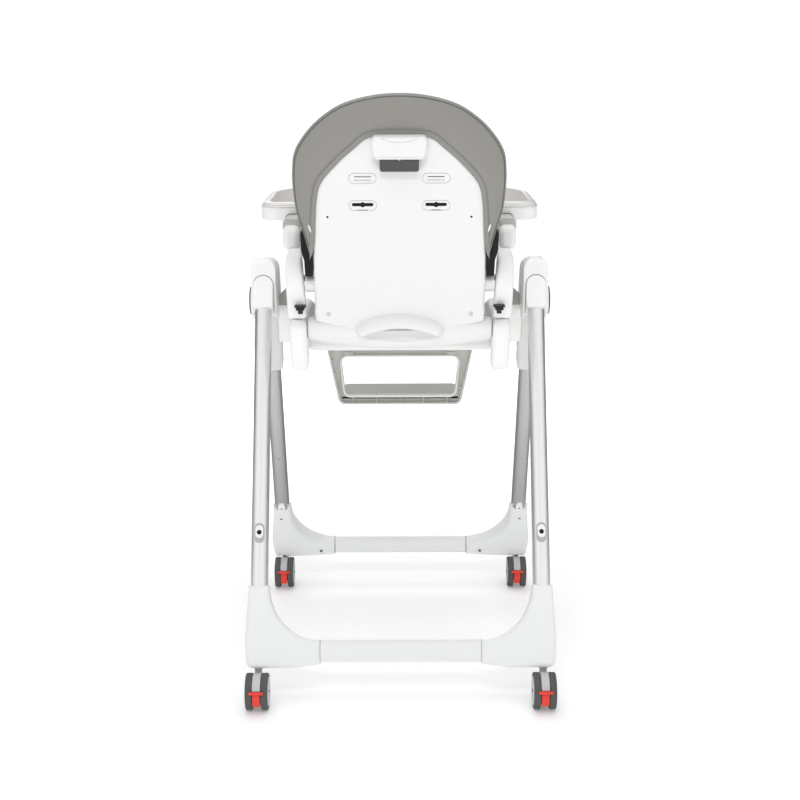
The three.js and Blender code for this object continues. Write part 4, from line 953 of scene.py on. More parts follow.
# %% Armrests, knobs and clips
def panel_clip():
    top = plate(rect(160, 178, 709, 713, 1.2), 169.5, 190, "x", rim=1.0)
    stem = plate(rect(161, 174, 697, 710, 1), 175.5, 184, "x", rim=1.0)
    tooth = plate(rect(160, 176, 703.5, 708, 1), 172.5, 187.5, "x", rim=1.0)
    return gather(top, stem, tooth, rod(2.2, 176, 179.4, "y", 181, 711, rim=0.6, sides=20))


# The end block's darker grey is painted shade under the tray.
both_sides("arm_end_block", lambda: plate(rect(188, 218.6, 836, 857, 0, 0, 9, 9), -33, 46, "y", rim=2,
                                          rims=("high",), steps=8), "seat", under_tray_shade_grey, crisp=60)
# A dark grey rim, a little larger than the end block, paints the shadow in the gap between the tray and the armrest.
both_sides("arm_end_gap_shade", lambda: plate(rect(187.4, 219.2, 838, 858.4, 0, 0, 9.6, 9.6), -36.4, -32, "y", rim=0.8,
                                         steps=8), "seat", dark_grey)
# The armrest's greyer white paints the shade that the tray casts on it.
both_sides("armrest_bar", lambda: plate(rect(-215, 44, 804, ARM_TOP, 16, 9, 10, 19), 187, 217, "x", rim=8,
                                        rim_steps=5, steps=8), "seat", armrest_shaded_white, "armrest_{side}", crisp=60)
both_sides("arm_knob", lambda: plate([(16, 801, 12), (62, 799, 12), (62, 845, 20), (16, 846, 12)], 187, 217.5, "x",
                                     rim=10, rim_steps=6, steps=8), "seat", body_white, crisp=60)
both_sides("panel_clip", panel_clip, "seat", black_plastic)
print("armrest height:", ARM_TOP, "mm")

# %% [markdown]
# The seat is a shallow tub between the rails with two lugs in front for the leg rest's rod. Its inside is
# carved out, and the cushion fills it.

# %% Seat tub
SEAT_FRONT, SEAT_REAR = -204, 88
LEGREST_Y, LEGREST_Z = joint_point("legrest_tilt").y, joint_point("legrest_tilt").z


def seat_tub():
    outer = plate([(SEAT_FRONT, 612, 18), (SEAT_REAR, 612, 12), (SEAT_REAR, 668, 3), (SEAT_FRONT, 648, 6)],
                  -169.7, 169.7, "x", rim=4, rim_steps=4)
    inner = plate([(SEAT_FRONT + 3, 617, 14), (SEAT_REAR - 3, 617, 8), (SEAT_REAR - 3, 700, 0),
                   (SEAT_FRONT + 3, 700, 0)], -166.7, 166.7, "x")
    lugs = [plate([(LEGREST_Y - 9, LEGREST_Z - 9, 8.8), (SEAT_FRONT + 2, LEGREST_Z - 9, 0),
                   (SEAT_FRONT + 2, LEGREST_Z + 9, 0), (LEGREST_Y - 9, LEGREST_Z + 9, 8.8)], x, x + 9, "x", rim=1)
            for x in (96, -105)]
    return gather(carved(outer, inner), *lugs)


piece("seat_tub", seat_tub(), "seat", body_white, ["seat_shell"])

# %% [markdown]
# The backrest is one big white moulding: a shallow dish whose rear face is almost flat, with a rolled lower
# edge, a grip to carry it by, strap slots and two bosses for the recline pins. It is drawn upright about
# the recline axis and leaned at the end. The slots are carved, and black lining shows behind them.

# %% Backrest panel
SHELL_HALF = [(70, 0, 60), (154, 20, 8), (154, 205, 60), (172, 276, 60), (148, 348, 60), (98, 396, 60), (0, 422, 200)]
BACK_FACE = 20


# Across, up, width, height and depth of each slot on one side; radius, depth, across, up and sides of each hole.
SLOTS = [(64, 291.8, 30, 1.9, 9), (64, 285.8, 30, 1.1, 4), (64.5, 241.5, 38, 6.4, 9), (64.5, 231.8, 19, 1.2, 4)]
HOLES = [(2.1, 6, 127, 219, 20), (3.9, 1.2, 129, 36, 24)]


def finger_scoop():
    """The hollow under the grip, as a tool to carve with: the shallow cap of a big oval ball."""
    bm = bmesh.new()
    bmesh.ops.create_uvsphere(bm, u_segments=64, v_segments=32, radius=1)
    return placed(bm, Matrix.Translation((0, BACK_FACE + 16.5, 4)) @ Matrix.Diagonal((105, 20.5, 30, 1)))


def shell_panel():
    tools = []
    for sign in (1, -1):
        tools += [plate(oval(width, height, sign * x, z), BACK_FACE - depth, BACK_FACE + 3, "y", steps=8)
                  for x, z, width, height, depth in SLOTS]
        tools += [rod(radius, BACK_FACE - depth, BACK_FACE + 3, "y", sign * x, z, sides=sides)
                  for radius, depth, x, z, sides in HOLES]
    return carved(plate(mirrored(SHELL_HALF), -4, BACK_FACE, "y", rim=7, rim_steps=5, steps=9, rims=("high",)),
                  finger_scoop(), *tools)


# The raised rings round the slots are grey: painted shade of the groove line round each slot.
def slot_groove_shade_rings():
    rings = []
    for sign in (1, -1):
        for z, width, height in ((289.2, 49, 18.6), (240, 50, 19)):
            ring = plate(oval(width, height, sign * 64.5, z), BACK_FACE - 1, BACK_FACE + 0.55, "y", rim=0.5,
                         rim_steps=2, rims=("high",), steps=10)
            hole = plate(oval(width - 1.6, height - 1.6, sign * 64.5, z), BACK_FACE - 2, BACK_FACE + 2, "y", steps=10)
            rings.append(carved(ring, hole))
    return gather(*rings)


# The black behind the slots is the cover's lining; the black discs at the foot of the upper screw holes are painted
# shade in the holes.
def slot_lining_and_hole_shade():
    parts = []
    for sign in (1, -1):
        parts += [plate(oval(36, 14, sign * 64, 289), BACK_FACE - 8.5, BACK_FACE - 6, "y"),
                  plate(oval(42, 12, sign * 64.5, 241.5), BACK_FACE - 8.5, BACK_FACE - 3, "y"),
                  plate(oval(8, 9.6, sign * 64.5, 241.5), BACK_FACE - 5, BACK_FACE + 0.25, "y", rim=0.2,
                        rims=("high",), steps=8),
                  rod(2.4, BACK_FACE - 6, BACK_FACE - 3, "y", sign * 127, 219, sides=20)]
    return gather(*parts)


def shell_screws():
    return gather(*[carved(rod(3.4, BACK_FACE - 1.4, BACK_FACE - 0.1, "y", x, 36, rim=0.5, sides=24),
                           plate(rect(x - 2.6, x + 2.6, 35.4, 36.6, 0), BACK_FACE - 0.8, BACK_FACE + 1, "y"))
                    for x in (129, -129)])


on_back("shell_panel", shell_panel(), shell_white, ["back_shell"])
on_back("slot_groove_shade_rings", slot_groove_shade_rings(), plate_grey)
on_back("slot_lining_and_hole_shade", slot_lining_and_hole_shade(), lining_black)
on_back("shell_screws", shell_screws(), bright_steel)
print("backrest panel: slots", 2 * len(SLOTS), "holes", 2 * len(HOLES))

# %% [markdown]
# The rolled lower edge hangs lower in the middle than at its ends. It is lofted: a row of oval rings along
# X, each bridged to the next. The grip is an oval section spun through a shallow arc, so that it stands
# off the panel like a basket handle.

# %% Rolled edge, grip and bosses
ROLL_WIDTH, RING_SIDES = 336, 40


def ring(x, y, z, depth, height):
    """An oval line across X at x, as one rib of a loft."""
    bm = bmesh.new()
    bmesh.ops.create_circle(bm, cap_ends=False, segments=RING_SIDES, radius=1)
    for vert in bm.verts:
        vert.co = Vector((x, y + depth * vert.co.x, z + height * vert.co.y))
    return bm


def lofted(rings):
    """Bridges a row of rings into one closed tube."""
    bm = gather(*rings)
    for i in range(len(rings) - 1):
        bm.edges.ensure_lookup_table()
        bmesh.ops.bridge_loops(bm, edges=bm.edges[i * RING_SIDES:(i + 2) * RING_SIDES])
    bmesh.ops.holes_fill(bm, edges=bm.edges[:], sides=0)
    return facing_out(bm)


def rolled_edge():
    half = ROLL_WIDTH / 2
    rings = []
    for x in [-half, -half + 0.8, -half + 3] + [half * k / 12 for k in range(-11, 12)] + [half - 3, half - 0.8, half]:
        fullness = 1 - (x / half) ** 2
        end = min(1.0, 0.86 + 0.14 * math.sin(min(1, (half - abs(x)) / 3) * math.pi / 2))
        rings.append(ring(x, 0, -9 * fullness, (21 + 3 * fullness) * end, (21 + 9 * fullness) * end))
    return lofted(rings)


GRIP_SECTION = [(17, 12.5), (21, 11.8), (26, 10.8), (32, 9.4), (37.5, 6.4), (41, 2.4), (42.5, -2), (41.4, -6),
                (38, -8.6), (33, -9), (29, -7.5), (25.5, -3), (22, 2), (17, 6)]
GRIP_RADIUS, GRIP_TOP, GRIP_SWEEP = 160, 22.5, math.radians(29.5)


def grip():
    bm = bmesh.new()
    corners = [bm.verts.new((0, y, GRIP_TOP + z)) for y, z in GRIP_SECTION]
    for pair in zip(corners, corners[1:] + corners[:1]):
        bm.edges.new(pair)
    middle = Vector((0, 29, GRIP_TOP - GRIP_RADIUS))
    bmesh.ops.rotate(bm, verts=bm.verts[:], cent=middle, matrix=Matrix.Rotation(-GRIP_SWEEP, 3, "Y"))
    bmesh.ops.spin(bm, geom=bm.verts[:] + bm.edges[:], cent=middle, axis=Vector((0, 1, 0)), angle=2 * GRIP_SWEEP,
                   steps=64, use_merge=False, use_duplicate=False)
    bmesh.ops.holes_fill(bm, edges=bm.edges[:], sides=0)
    # Both ends close in round, as a finger would.
    for vert in bm.verts:
        turn = math.atan2(vert.co.x, vert.co.z - middle.z)
        past = (abs(turn) - GRIP_SWEEP + 0.085) / 0.085
        if past > 0:
            slim = math.sqrt(max(0.03, 1 - min(1, past) ** 2))
            core = middle + Vector((math.sin(turn), 0, math.cos(turn))) * GRIP_RADIUS
            vert.co.x, vert.co.z = (core.x + (vert.co.x - core.x) * slim, core.z + (vert.co.z - core.z) * slim)
            vert.co.y = 22 + (vert.co.y - 22) * slim
    return facing_out(bm)


def bosses():
    return gather(*[plate(outline, *span(sign, 150, far), "x", rim=rim, steps=steps) for sign in (1, -1)
                    for outline, far, rim, steps in (
                        (oval(56, 28, -20, 84), 171, 1.6, 14),
                        ([(-46, 72, 12), (0, 66, 0), (0, 102, 0), (-46, 98, 12)], 154, 1, 6))])


on_back("rolled_edge", carved(rolled_edge(), finger_scoop()), shell_white, crisp=60, weighted=False)
on_back("carry_grip", grip(), shell_white, crisp=60, weighted=False)
on_back("recline_bosses", bosses(), shell_white)
print("rolled edge:", ROLL_WIDTH, "mm wide")

# %% [markdown]
# Under the cover's hem a boxy housing holds the recline lever, a dark blade that the parent pulls up to
# free both lock pins. The blade slides inside the housing, so the housing is hollow underneath.

# %% Recline lever
LEVER_HALF = 34


def lever_housing():
    box = plate(mirrored([(40.5, 327.5, 4), (47, 338.5, 10), (49.5, 367.5, 9)]), BACK_FACE - 1, 44, "y", rim=5.5,
                rim_steps=5, steps=8, rims=("high",))
    room = plate(mirrored([(35.6, 300, 0), (35.6, 363, 2)]), BACK_FACE - 5, 40, "y")
    return carved(box, room)


def housing_line():
    """The raised line that outlines the thumb dish on top of the housing."""
    points = through([(-31, 44.6, 366), (-18, 44.6, 361), (0, 44.6, 359.2), (18, 44.6, 361), (31, 44.6, 366)], 40)
    return cord_along(points, 0.55)


def housing_lens():
    curve = mirrored([(31, 366.5, 1), (30, 362, 8), (14, 358.5, 26), (0, 357.5, 60)])
    return plate(curve, 40, 45.0, "y", rim=0.9, rims=("high",), steps=8)


def lever_blade():
    blade = plate(mirrored([(LEVER_HALF, 305, 4.5), (LEVER_HALF, 352, 1)]), BACK_FACE + 0.6, 37.5, "y", rim=2.2,
                  rim_steps=4, rims=("high",))
    return blade


def lever_mark():
    return plate([(-3.2, 328.2, 0.4), (0, 324.9, 0.8), (3.2, 328.2, 0.4), (3.2, 331, 0), (-3.2, 331, 0)], 37.2, 38.0,
                 "y", rim=0.2, rims=("high",))


on_back("lever_housing_box", lever_housing(), shell_white, ["lever_housing"])
on_back("lever_housing_lens", housing_lens(), shell_white)
on_back("housing_line", housing_line(), plate_grey, weighted=False)
piece("lever_blade", lever_blade(), "recline_lever", dark_grey, ["recline_lever"], back_frame)
piece("lever_mark", lever_mark(), "recline_lever", body_white, lean=back_frame)
print("lever:", 2 * LEVER_HALF, "mm wide")

# %% [markdown]
# The padded cover has a hood that pulls over the top of the shell like a cap. Behind, it is a crescent of
# leatherette between the stitched hem and a corded seam; past the seam a side strip runs forward to the
# cushion. Both edges are smooth lines through a few points, and rows between them are bridged into a sheet.

# %% Cover hood
def whole_arch(half):
    return list(half) + [(-x, z) for x, z in reversed(half[:-1])]


HEM = [(159.5, 143), (155, 152), (150.5, 176), (148, 210), (145, 250), (136, 282), (105, 318), (76, 344), (60, 357.5),
       (43, 363.5), (22, 364.8), (0, 364.8)]
CROWN = [(160.5, 140), (167, 168), (176, 202), (184, 232), (187.5, 268), (187.5, 302), (183, 334), (166, 364),
         (139, 393), (101, 418), (51, 432.5), (0, 437)]
ARCH_COUNT = 161
hem_line = through(whole_arch(HEM), ARCH_COUNT)
crown_line = through(whole_arch(CROWN), ARCH_COUNT)


def hood_row(kind, value, depth):
    """One line of the hood: so far from the hem or the crown, or a share of the way between them."""
    row = []
    for hem, crown in zip(hem_line, crown_line):
        width = (crown - hem).length
        if kind == "hem":
            share = min(0.42, value / width)
        elif kind == "crown":
            share = 1 - min(0.42, value / width)
        elif kind == "roof":
            share = 1 - min(0.42, value * (0.2 + 0.8 * min(1, max(0, (crown.y - 290) / 110))) / width)
        else:
            share = value
        point = hem.lerp(crown, share)
        # Where the hood is narrow its relief flattens out, or its rows would fold over one another.
        flat = 21 + (depth - 21) * min(1, width / 45) if depth > 12 else depth
        row.append(Vector((point.x, flat, point.y)))
    return row


HOOD_ROWS = [("hem", 0, 20.3), ("hem", 0, 22.4), ("hem", 1.0, 23.4), ("hem", 5, 23.7), ("hem", 10.2, 23.3),
             ("hem", 11.6, 22.5), ("hem", 13, 23.2), ("hem", 16, 24.0), ("mid", 0.42, 24.2), ("mid", 0.5, 23.8),
             ("mid", 0.6, 22.6), ("crown", 18, 20.6), ("crown", 10, 18.2), ("crown", 6.6, 16.6),
             ("crown", 5.4, 15.0), ("crown", 4.2, 15.4), ("crown", 2.4, 13.0), ("roof", 1.4, 8.8),
             ("roof", 2.4, 3.0), ("roof", 4.8, -4), ("roof", 8.6, -13), ("roof", 13, -22), ("roof", 17.5, -31)]


def sheet_from(rows):
    bm = bmesh.new()
    loops = []
    for row in rows:
        verts = [bm.verts.new(point) for point in row]
        loops.append([bm.edges.new(pair) for pair in zip(verts, verts[1:])])
    for lower, upper in zip(loops, loops[1:]):
        bmesh.ops.bridge_loops(bm, edges=lower + upper)
    return bm


def cover_hood():
    bm = sheet_from([hood_row(*row) for row in HOOD_ROWS])
    bmesh.ops.remove_doubles(bm, verts=bm.verts[:], dist=0.35)
    bmesh.ops.recalc_face_normals(bm, faces=bm.faces[:])
    outward = sum((face.normal.y for face in bm.faces if face.calc_center_median().y > 22), 0.0)
    if outward < 0:
        bmesh.ops.reverse_faces(bm, faces=bm.faces[:])
    bmesh.ops.solidify(bm, geom=bm.faces[:], thickness=1.2)
    for vert in bm.verts:
        vert.co.z = max(vert.co.z, 139)
    return bm


hood_piece = on_back("cover_hood_sheet", cover_hood(), cover_grey, ["cover_hood"], crisp=50, weighted=False)
print("hood rows:", len(HOOD_ROWS), "triangles:", sum(len(p.vertices) - 2 for p in hood_piece.data.polygons))

# %% [markdown]
# The leg rest hangs from a rod in front of the seat, and the footrest slides on it. From behind, the
# footrest shows as a tapering frame with a pale lip round its window, little ribs, and the step at its
# foot. The window is carved out, and the lip is a thinner ring set in it.

# %% Leg rest and footrest
FOOTREST_Y, FOOTREST_TOP, FOOTREST_BOTTOM, STEP_HALF, STEP_REACH = -256, 556, 434, 129, 84


def legrest_panel():
    panel = plate(rect(-150, 150, 556.3, 612, 6, 6, 12, 12), FOOTREST_Y - 4, LEGREST_Y - 12, "y", rim=3)
    ears = [plate([(LEGREST_Y + 9, LEGREST_Z - 9, 8.8), (LEGREST_Y + 9, LEGREST_Z + 9, 8.8),
                   (LEGREST_Y - 9, LEGREST_Z + 9, 8.8), (LEGREST_Y - 22, LEGREST_Z - 18, 0),
                   (LEGREST_Y - 22, LEGREST_Z - 28, 0), (LEGREST_Y - 13, LEGREST_Z - 28, 0)], x, x + 9, "x", rim=1)
            for x in (86, -95)]
    slots = [plate(rect(x - 48, x + 48, 559, 562.5, 1), LEGREST_Y - 16, LEGREST_Y - 10, "y") for x in (82, -82)]
    return gather(carved(panel, *slots), *ears)


def frame_band(low, inset, top, corners, start, end, **more):
    """A tapering outline of the footrest, inset from its foot and top."""
    half = [(low, FOOTREST_BOTTOM + inset, corners[0]), (top, FOOTREST_TOP - inset, corners[1])]
    return plate(mirrored(half), FOOTREST_Y + start, FOOTREST_Y + end, "y", **more)


def footrest_frame():
    outer = frame_band(STEP_HALF, 0, 154.5, (14, 4), 0, 18, rim=2.5)
    window = frame_band(STEP_HALF - 14, 20, STEP_HALF - 5, (14, 14), -5, 25, steps=8)
    tray = frame_band(STEP_HALF - 4, 4, 150, (12, 4), 6, 25)
    return carved(outer, window, tray)


def footrest_lip():
    return carved(frame_band(STEP_HALF - 9.5, 15.5, STEP_HALF - 0.5, (16, 16), 1, 17, rim=0.8, steps=8),
                  frame_band(STEP_HALF - 13, 19, STEP_HALF - 4, (14, 14), -5, 25, steps=8))


def footrest_ribs():
    boxes = [((x - 0.9, x + 0.9, 437, 451), 4, 16) for x in (-100, -50, 0, 50, 100)]
    for sign in (1, -1):
        for z in (470, 500, 530):
            x = 129 + 25.5 * (z - 434) / 122
            boxes.append(((sign * (x - 8), sign * (x - 1), z - 0.9, z + 0.9), 4, 15))
        boxes.append(((sign * 98, sign * 118, 538, 548), 6, 12))
    return gather(*[plate(rect(*box, 0.2), FOOTREST_Y + low, FOOTREST_Y + high, "y") for box, low, high in boxes])


def footrest_step():
    low = STEP_HALF
    step = plate([(5 - low, FOOTREST_Y + 6, 0), (8 - low, FOOTREST_Y - STEP_REACH, 12),
                  (low - 8, FOOTREST_Y - STEP_REACH, 12), (low - 5, FOOTREST_Y + 6, 0)],
                 FOOTREST_BOTTOM + 8, FOOTREST_BOTTOM + 18, "z", rim=3, rim_steps=4, steps=8)
    # The front edge curls up a little, more at its two ends, to keep small feet on.
    for vert in step.verts:
        forward = (FOOTREST_Y + 6 - vert.co.y) / 90
        vert.co.z += forward ** 2 * (4 + 4 * (vert.co.x / 118) ** 2)
    grips = [plate(rect(-82, 82, FOOTREST_Y - 68 + k, FOOTREST_Y - 64 + k, 1.5), FOOTREST_BOTTOM + 17,
                   FOOTREST_BOTTOM + 19, "z", rim=0.8, rims=("high",)) for k in (22, 33, 44)]
    return gather(step, *grips)


def tongues():
    return gather(*[plate(rect(sign * 96, sign * 120, FOOTREST_TOP - 10, LEGREST_Z - 15, 1, 1, 2, 2), FOOTREST_Y + 6,
                          FOOTREST_Y + 12, "y", rim=0.8) for sign in (1, -1)])


piece("legrest_panel", legrest_panel(), "legrest", rest_grey, ["legrest"])
piece("footrest_frame", footrest_frame(), "footrest", rest_grey, ["footrest"])
piece("footrest_lip", footrest_lip(), "footrest", rest_pale)
piece("footrest_ribs", footrest_ribs(), "footrest", rest_grey)
# The step's darker grey is painted shade under the seat.
piece("footrest_step", footrest_step(), "footrest", painted_shade_grey)
piece("footrest_tongues", tongues(), "footrest", rest_grey)
print("footrest step reaches", STEP_REACH, "mm forward")

# %% [markdown]
# The tray is a deep white base with a glossy insert that lifts off for washing. Both follow one outline: a
# broad D with a bay for the child. The insert's rim overhangs the base a little, and its dish is carved
# and then softened, so that light runs round the inner corners.

# %% Tray
TRAY_BOTTOM, TRAY_TOP, TRAY_REAR, TRAY_FRONT, TRAY_HALF = 845, 869, -38, -363.3, 269


def tray_outline(inset):
    half = [(150 + inset, -190 - inset, 80 + inset), (165 + inset, TRAY_REAR - inset, 20 - inset / 2),
            (TRAY_HALF - inset, TRAY_REAR - inset, 34 - inset), (TRAY_HALF - inset, TRAY_FRONT + inset, 115 - inset)]
    return mirrored(half[::-1])


def tray_base():
    body = plate(tray_outline(1.6), TRAY_BOTTOM, TRAY_TOP, "z", rim=3, rim_steps=4, steps=10, rims=("low",))
    pocket_tool = plate(tray_outline(6), TRAY_BOTTOM + 3, TRAY_TOP + 20, "z", steps=10)
    rail = rect(-218, -68, 828, 847, 3, 3, 0, 0)
    guide = rect(TRAY_FRONT + 6, TRAY_FRONT + 56, 833, 847, 3, 3, 0, 0)
    runners = [plate(outline, *span(sign, near, far), "x", rim=0.8) for sign in (1, -1)
               for outline, near, far in ((rail, 182.5, 186), (rail, 218, 221.5), (guide, 48, 52))]
    return gather(carved(body, pocket_tool), *runners)


def tray_insert():
    flange = plate(tray_outline(0), TRAY_TOP + 0.3, TRAY_TOP + 3, "z", rim=1.2, rim_steps=3, steps=10)
    bead = plate(tray_outline(3), TRAY_TOP + 1, TRAY_TOP + 9.5, "z", rim=6, rim_steps=6, rims=("high",), steps=10)
    bowl = plate(tray_outline(9.5), TRAY_BOTTOM + 3.3, TRAY_TOP + 2, "z", rim=3, rims=("low",), steps=10)
    dish = plate(tray_outline(17), TRAY_BOTTOM + 6, TRAY_TOP + 20, "z", rim=6, rim_steps=5, rims=("low",), steps=10)
    whole = carved(carved(carved(flange, bead, how="UNION"), bowl, how="UNION"), dish)
    for vert in whole.verts:
        if vert.co.z > TRAY_TOP + 3.1:
            forward = min(1, max(0, (-45 - vert.co.y) / 120))
            middle = 1.15 - 0.65 * abs(vert.co.x / 265) ** 3
            vert.co.z += 8 * forward * middle * (vert.co.z - TRAY_TOP - 3.1) / 6.4
    return softened(whole, 1.6, 3, 40)


def tray_release():
    pad = plate(mirrored([(47, TRAY_FRONT + 4, 6), (47, TRAY_FRONT + 44, 4)]), TRAY_BOTTOM - 9, TRAY_BOTTOM - 0.3,
                "z", rim=2)
    lip = plate(rect(TRAY_FRONT + 4, TRAY_FRONT + 10, 827, 837, 2, 2, 0, 0), -40, 40, "x", rim=1.5)
    return gather(pad, lip)


piece("tray_base_moulding", tray_base(), "tray", body_white, ["tray_base"])
piece("tray_insert_dish", tray_insert(), "tray_insert", tray_white, ["tray_insert"])
piece("tray_release_pull", tray_release(), "tray_release", warm_grey, ["tray_release"])
print("tray:", 2 * TRAY_HALF, "mm wide")

# %% [markdown]
# Both cushions are sewn bags of foam, so cloth simulation shapes them. A plain closed form, a little small,
# is remeshed finely; it swells under pressure for twenty frames with no gravity; and no point may move
# further than a cap. One subdivision then smooths it. Sewn channels come last, because the remesh would
# lose them: points near a seam line are pulled down to it.

# %% Swelling a cushion with cloth
def swollen(bm, voxel, cap, pressure=4.0, frames=20):
    """Remeshes a closed form and puffs it up; works in millimetres and gives them back."""
    shape = as_object(placed(bm, Matrix.Scale(MM, 4)))
    modifier(shape, "even mesh", "REMESH", mode="VOXEL", voxel_size=voxel * MM)
    even = as_bmesh(shape)
    rest = [vert.co.copy() for vert in even.verts]
    bag = as_object(even)
    cloth = modifier(bag, "swell", "CLOTH")
    for key, value in dict(use_pressure=True, uniform_pressure_force=pressure, quality=4, tension_stiffness=12,
                           compression_stiffness=12, shear_stiffness=5, bending_stiffness=0.8).items():
        setattr(cloth.settings, key, value)
    cloth.settings.effector_weights.gravity = 0
    cloth.point_cache.frame_start = 1
    cloth.point_cache.frame_end = frames
    for number in range(1, frames + 1):
        bpy.context.scene.frame_set(number)
        bpy.context.view_layer.update()
    even = as_bmesh(bag)
    bpy.context.scene.frame_set(1)
    even.verts.ensure_lookup_table()
    for vert, start in zip(even.verts, rest):
        push = vert.co - start
        if push.length > cap * MM:
            vert.co = start + push.normalized() * cap * MM
    placed(even, Matrix.Scale(1 / MM, 4))
    bmesh.ops.smooth_vert(even, verts=even.verts[:], factor=0.5, use_axis_x=True, use_axis_y=True, use_axis_z=True)
    return even


def finer(obj):
    modifier(obj, "smooth foam", "SUBSURF", levels=1, render_levels=1)
    return obj


def valley(distance, width):
    """1 on a seam line, falling smoothly to 0 at its width."""
    return math.exp(-(distance / width) ** 2)


# %% [markdown]
# The back cushion follows the shell and swells forward. Its face has a tall middle panel with two side
# wings, so the seams run up each side, join in an arch near the top, and cross once at the child's waist.

# %% Back cushion
PAD_FACE = -40


def pad_form():
    half = [(129, 38, 18), (131, 112, 14), (152, 144, 30), (163, 196, 40), (173, 286, 60), (161, 338, 40),
            (116, 392, 60), (0, 412, 260)]
    return plate(mirrored(half), PAD_FACE + 5, -6.5, "y", rim=9, rim_steps=4, steps=6)


def back_cushion():
    bm = swollen(pad_form(), 6, 9)
    for vert in bm.verts:
        x, y, z = vert.co
        if y > -14:
            vert.co.y = min(y, -5.0)
            continue
        facing = min(1, (-14 - y) / 8)
        arch_top = 330
        half = 78 - 0.05 * (z - 200)
        if z < arch_top - half:
            side = abs(abs(x) - half)
        else:
            side = abs(math.hypot(x, z - (arch_top - half)) - half)
        seams = max(valley(side, 4.5), valley(z - 150, 4.0) if abs(x) < half else 0)
        wing = 0.0
        if abs(x) > half:
            wing = max(valley(z - level, 3.6) for level in (175, 235, 295)) * 0.7
        vert.co.y += facing * (3.6 * seams + 3.0 * wing)
        crown = max(0, 1 - (x / half) ** 2) if z < 330 else 0
        vert.co.y += facing * 1.6 * crown
        vert.co.y = max(vert.co.y, PAD_FACE - 3)
    return bm


back_pad = finer(on_back("back_cushion_pad", back_cushion(), pad_grey, ["back_cushion"], crisp=180, weighted=False))

# %% [markdown]
# The seat cushion lies in the tub. Its seams mark out two thighs, and its middle is sat hollow.

# %% Seat cushion
def seat_form():
    return plate(rect(-198, 74, 619, 649, 16, 12, 14, 16), -161, 161, "x", rim=10, rim_steps=4, steps=5)


def seat_cushion():
    bm = swollen(seat_form(), 6, 7)
    for vert in bm.verts:
        x, y, z = vert.co
        vert.co.x = max(-165.5, min(165.5, x))
        vert.co.z = max(z, 617.6)
        if z > 640:
            thigh = min(abs(abs(x) - 62), 60)
            seams = max(valley(thigh, 4.2) if y < 20 else 0, valley(y - 20, 4.2) if abs(x) < 120 else 0,
                        valley(abs(x) - 125, 4.2))
            vert.co.z -= 3.4 * seams
            hollow = math.exp(-((abs(x) - 62) / 40) ** 2 - ((y + 60) / 90) ** 2)
            vert.co.z -= 2.5 * hollow
            vert.co.z = min(vert.co.z, 658)
    return bm


seat_pad = finer(piece("seat_cushion_pad", seat_cushion(), "seat", pad_grey, ["seat_cushion"], crisp=180,
                       weighted=False))
print("cushion points:", len(back_pad.data.vertices), len(seat_pad.data.vertices))

# %% [markdown]
# A five-point harness lies on the cushions: two shoulder straps from the upper slots, two lap straps, and
# the crotch strap, all meeting at one dark buckle. Each strap is a thin webbing band: a short cross line
# extruded along its route, then given a thickness.

# %% Harness
def strap(route, width, thick=1.4, side=Vector((1, 0, 0))):
    """A flat band along a route of points; `side` says which way its width lies."""
    bm = bmesh.new()
    line = through([tuple(p) for p in route], 40)
    first = [bm.verts.new(line[0] - side * width / 2), bm.verts.new(line[0] + side * width / 2)]
    row = [bm.edges.new(first)]
    for here, there in zip(line, line[1:]):
        longer = bmesh.ops.extrude_edge_only(bm, edges=row)
        fresh = [part for part in longer["geom"] if isinstance(part, bmesh.types.BMVert)]
        bmesh.ops.translate(bm, verts=fresh, vec=there - here)
        row = [part for part in longer["geom"] if isinstance(part, bmesh.types.BMEdge)
               and all(vert in fresh for vert in part.verts)]
    bmesh.ops.recalc_face_normals(bm, faces=bm.faces[:])
    bmesh.ops.solidify(bm, geom=bm.faces[:], thickness=thick)
    return bm


def on_pad(sign, points):
    """Points (x, z, lift, x and z of the pad's surface there) as a route over the back cushion."""
    return [(sign * x, PAD_FACE - 6.0 + 0.0002 * at * at + lift, z) for x, z, lift, at in points]


def shoulder_strap(sign):
    return strap([(sign * 62, -30, 286)] + on_pad(sign, [(61, 276, 2, 62), (58, 235, 0, 58), (52, 180, -1, 52),
                                                         (44, 120, -2, 44), (34, 66, -6, 34)]), 24)


def shoulder_pad(sign):
    return strap(on_pad(sign, [(60, 262, -2.6, 60), (56, 215, -3.4, 56), (49, 155, -3.4, 49)]), 44, thick=5)


on_back("shoulder_straps", gather(shoulder_strap(1), shoulder_strap(-1)), webbing_black)
pads = on_back("shoulder_pads", gather(shoulder_pad(1), shoulder_pad(-1)), pad_grey)
modifier(pads, "soft edge", "BEVEL", width=0.002, segments=3)


def lap_strap(sign):
    route = [(sign * 140, 30, 662), (sign * 118, 10, 663), (sign * 84, -22, 668), (sign * 50, -52, 690),
             (sign * 22, -68, 712)]
    return strap(route, 24, side=Vector((0, 0.35, 0.94)).normalized())


def buckle():
    body = plate(oval(44, 52, 0, 717), -77.5, -62.5, "y", rim=4, rim_steps=5, steps=10)
    tabs = [plate([(x - 9, 728, 3), (x + 9, 728, 3), (x + 8, 748, 4), (x - 8, 748, 4)], -74, -66, "y", rim=1.5)
            for x in (-20, 20)]
    return gather(body, *tabs)


crotch_strap = strap([(0, -68, 652), (0, -69, 668), (0, -70, 682), (0, -70, 700)], 26)
button = plate(oval(24, 24, 0, 719), -79.5, -76, "y", rim=1.6, rims=("low",), steps=10)
piece("buckle_body", buckle(), "seat", dark_grey, ["crotch_buckle"])
piece("buckle_button", button, "seat", brake_red)
piece("lap_and_crotch_straps", gather(lap_strap(1), lap_strap(-1), crotch_strap), "seat", webbing_black)
print("harness made")

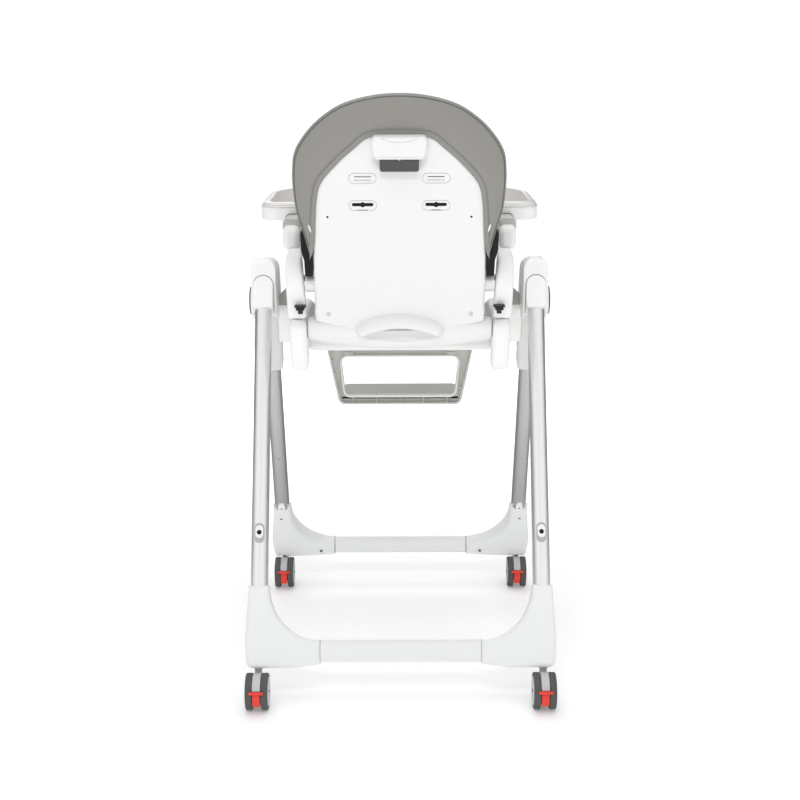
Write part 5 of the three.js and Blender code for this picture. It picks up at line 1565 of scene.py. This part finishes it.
# %% [markdown]
# Small trim finishes the cover: a cord in the seam, a row of stitches beside the hem, a slit on each side
# for the harness, and a black sheet between the shell and the arm, which stands for the cushion's black side
# fabric together with the shade that falls there.

# %% Cover trim
def stitches(points, length, pitch, radius):
    made, walked = [], 0.0
    for here, there in zip(points, points[1:]):
        walked += (there - here).length
        if walked < pitch:
            continue
        walked = 0.0
        bm = bmesh.new()
        bmesh.ops.create_cone(bm, cap_ends=True, segments=6, radius1=radius, radius2=radius, depth=length)
        turn = Vector((0, 0, 1)).rotation_difference(there - here).to_matrix().to_4x4()
        made.append(placed(bm, Matrix.Translation(here) @ turn))
    return gather(*made)


seam_cord = cord_along(hood_row("crown", 5.0, 15.4), 1.1)
on_back("hood_seam_cord", seam_cord, thread_grey, crisp=60, weighted=False)
hem_seam = through([tuple(p) for p in hood_row("hem", 10.2, 23.4)][6:-6], 560)
on_back("hem_stitches", stitches(hem_seam, 2.8, 4.2, 0.42), thread_grey, crisp=60, weighted=False)


# Black sheet beside the back cushion: the cushion's black side fabric, and painted shade between the shell and the
# arm.
def side_lining_and_shade():
    return plate([(156, 106, 1), (170, 106, 1), (171, 136, 10), (176, 154, 20), (176.5, 186, 10), (168, 204, 10),
                  (156, 204, 2)], -30, 15, "y", rim=1.5)


def hood_slit():
    almond = plate([(-0.2, -8.4, 0), (1.9, -3.5, 4), (1.7, 4.5, 4), (0.3, 8.4, 0), (-1.5, 3.5, 4), (-1.5, -4, 4)],
                   23, 24.9, "y", rim=0.3, rims=("high",))
    return moved(placed(almond, Matrix.Rotation(math.radians(14), 4, "Y")), Vector((158.6, 0, 199.5)))


both_sides("side_lining_and_shade", side_lining_and_shade, "backrest", lining_black, lean=back_frame)
both_sides("hood_slit", hood_slit, "backrest", shell_white, lean=back_frame)
print("stitches and cord made")

# %% [markdown]
# Pins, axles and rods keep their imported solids, which have the right shape, and take a steel finish.

# %% Finishes for the solids that stay
steel_solids = [name for name in frame["nodes"] if name.startswith(("hinge_pin", "lock_pin", "recline_axle",
                                                                    "legrest_rod"))]
for name in steel_solids:
    bpy.data.objects[name].data.materials.clear()
    bpy.data.objects[name].data.materials.append(bright_steel)
print("steel solids:", len(steel_solids))
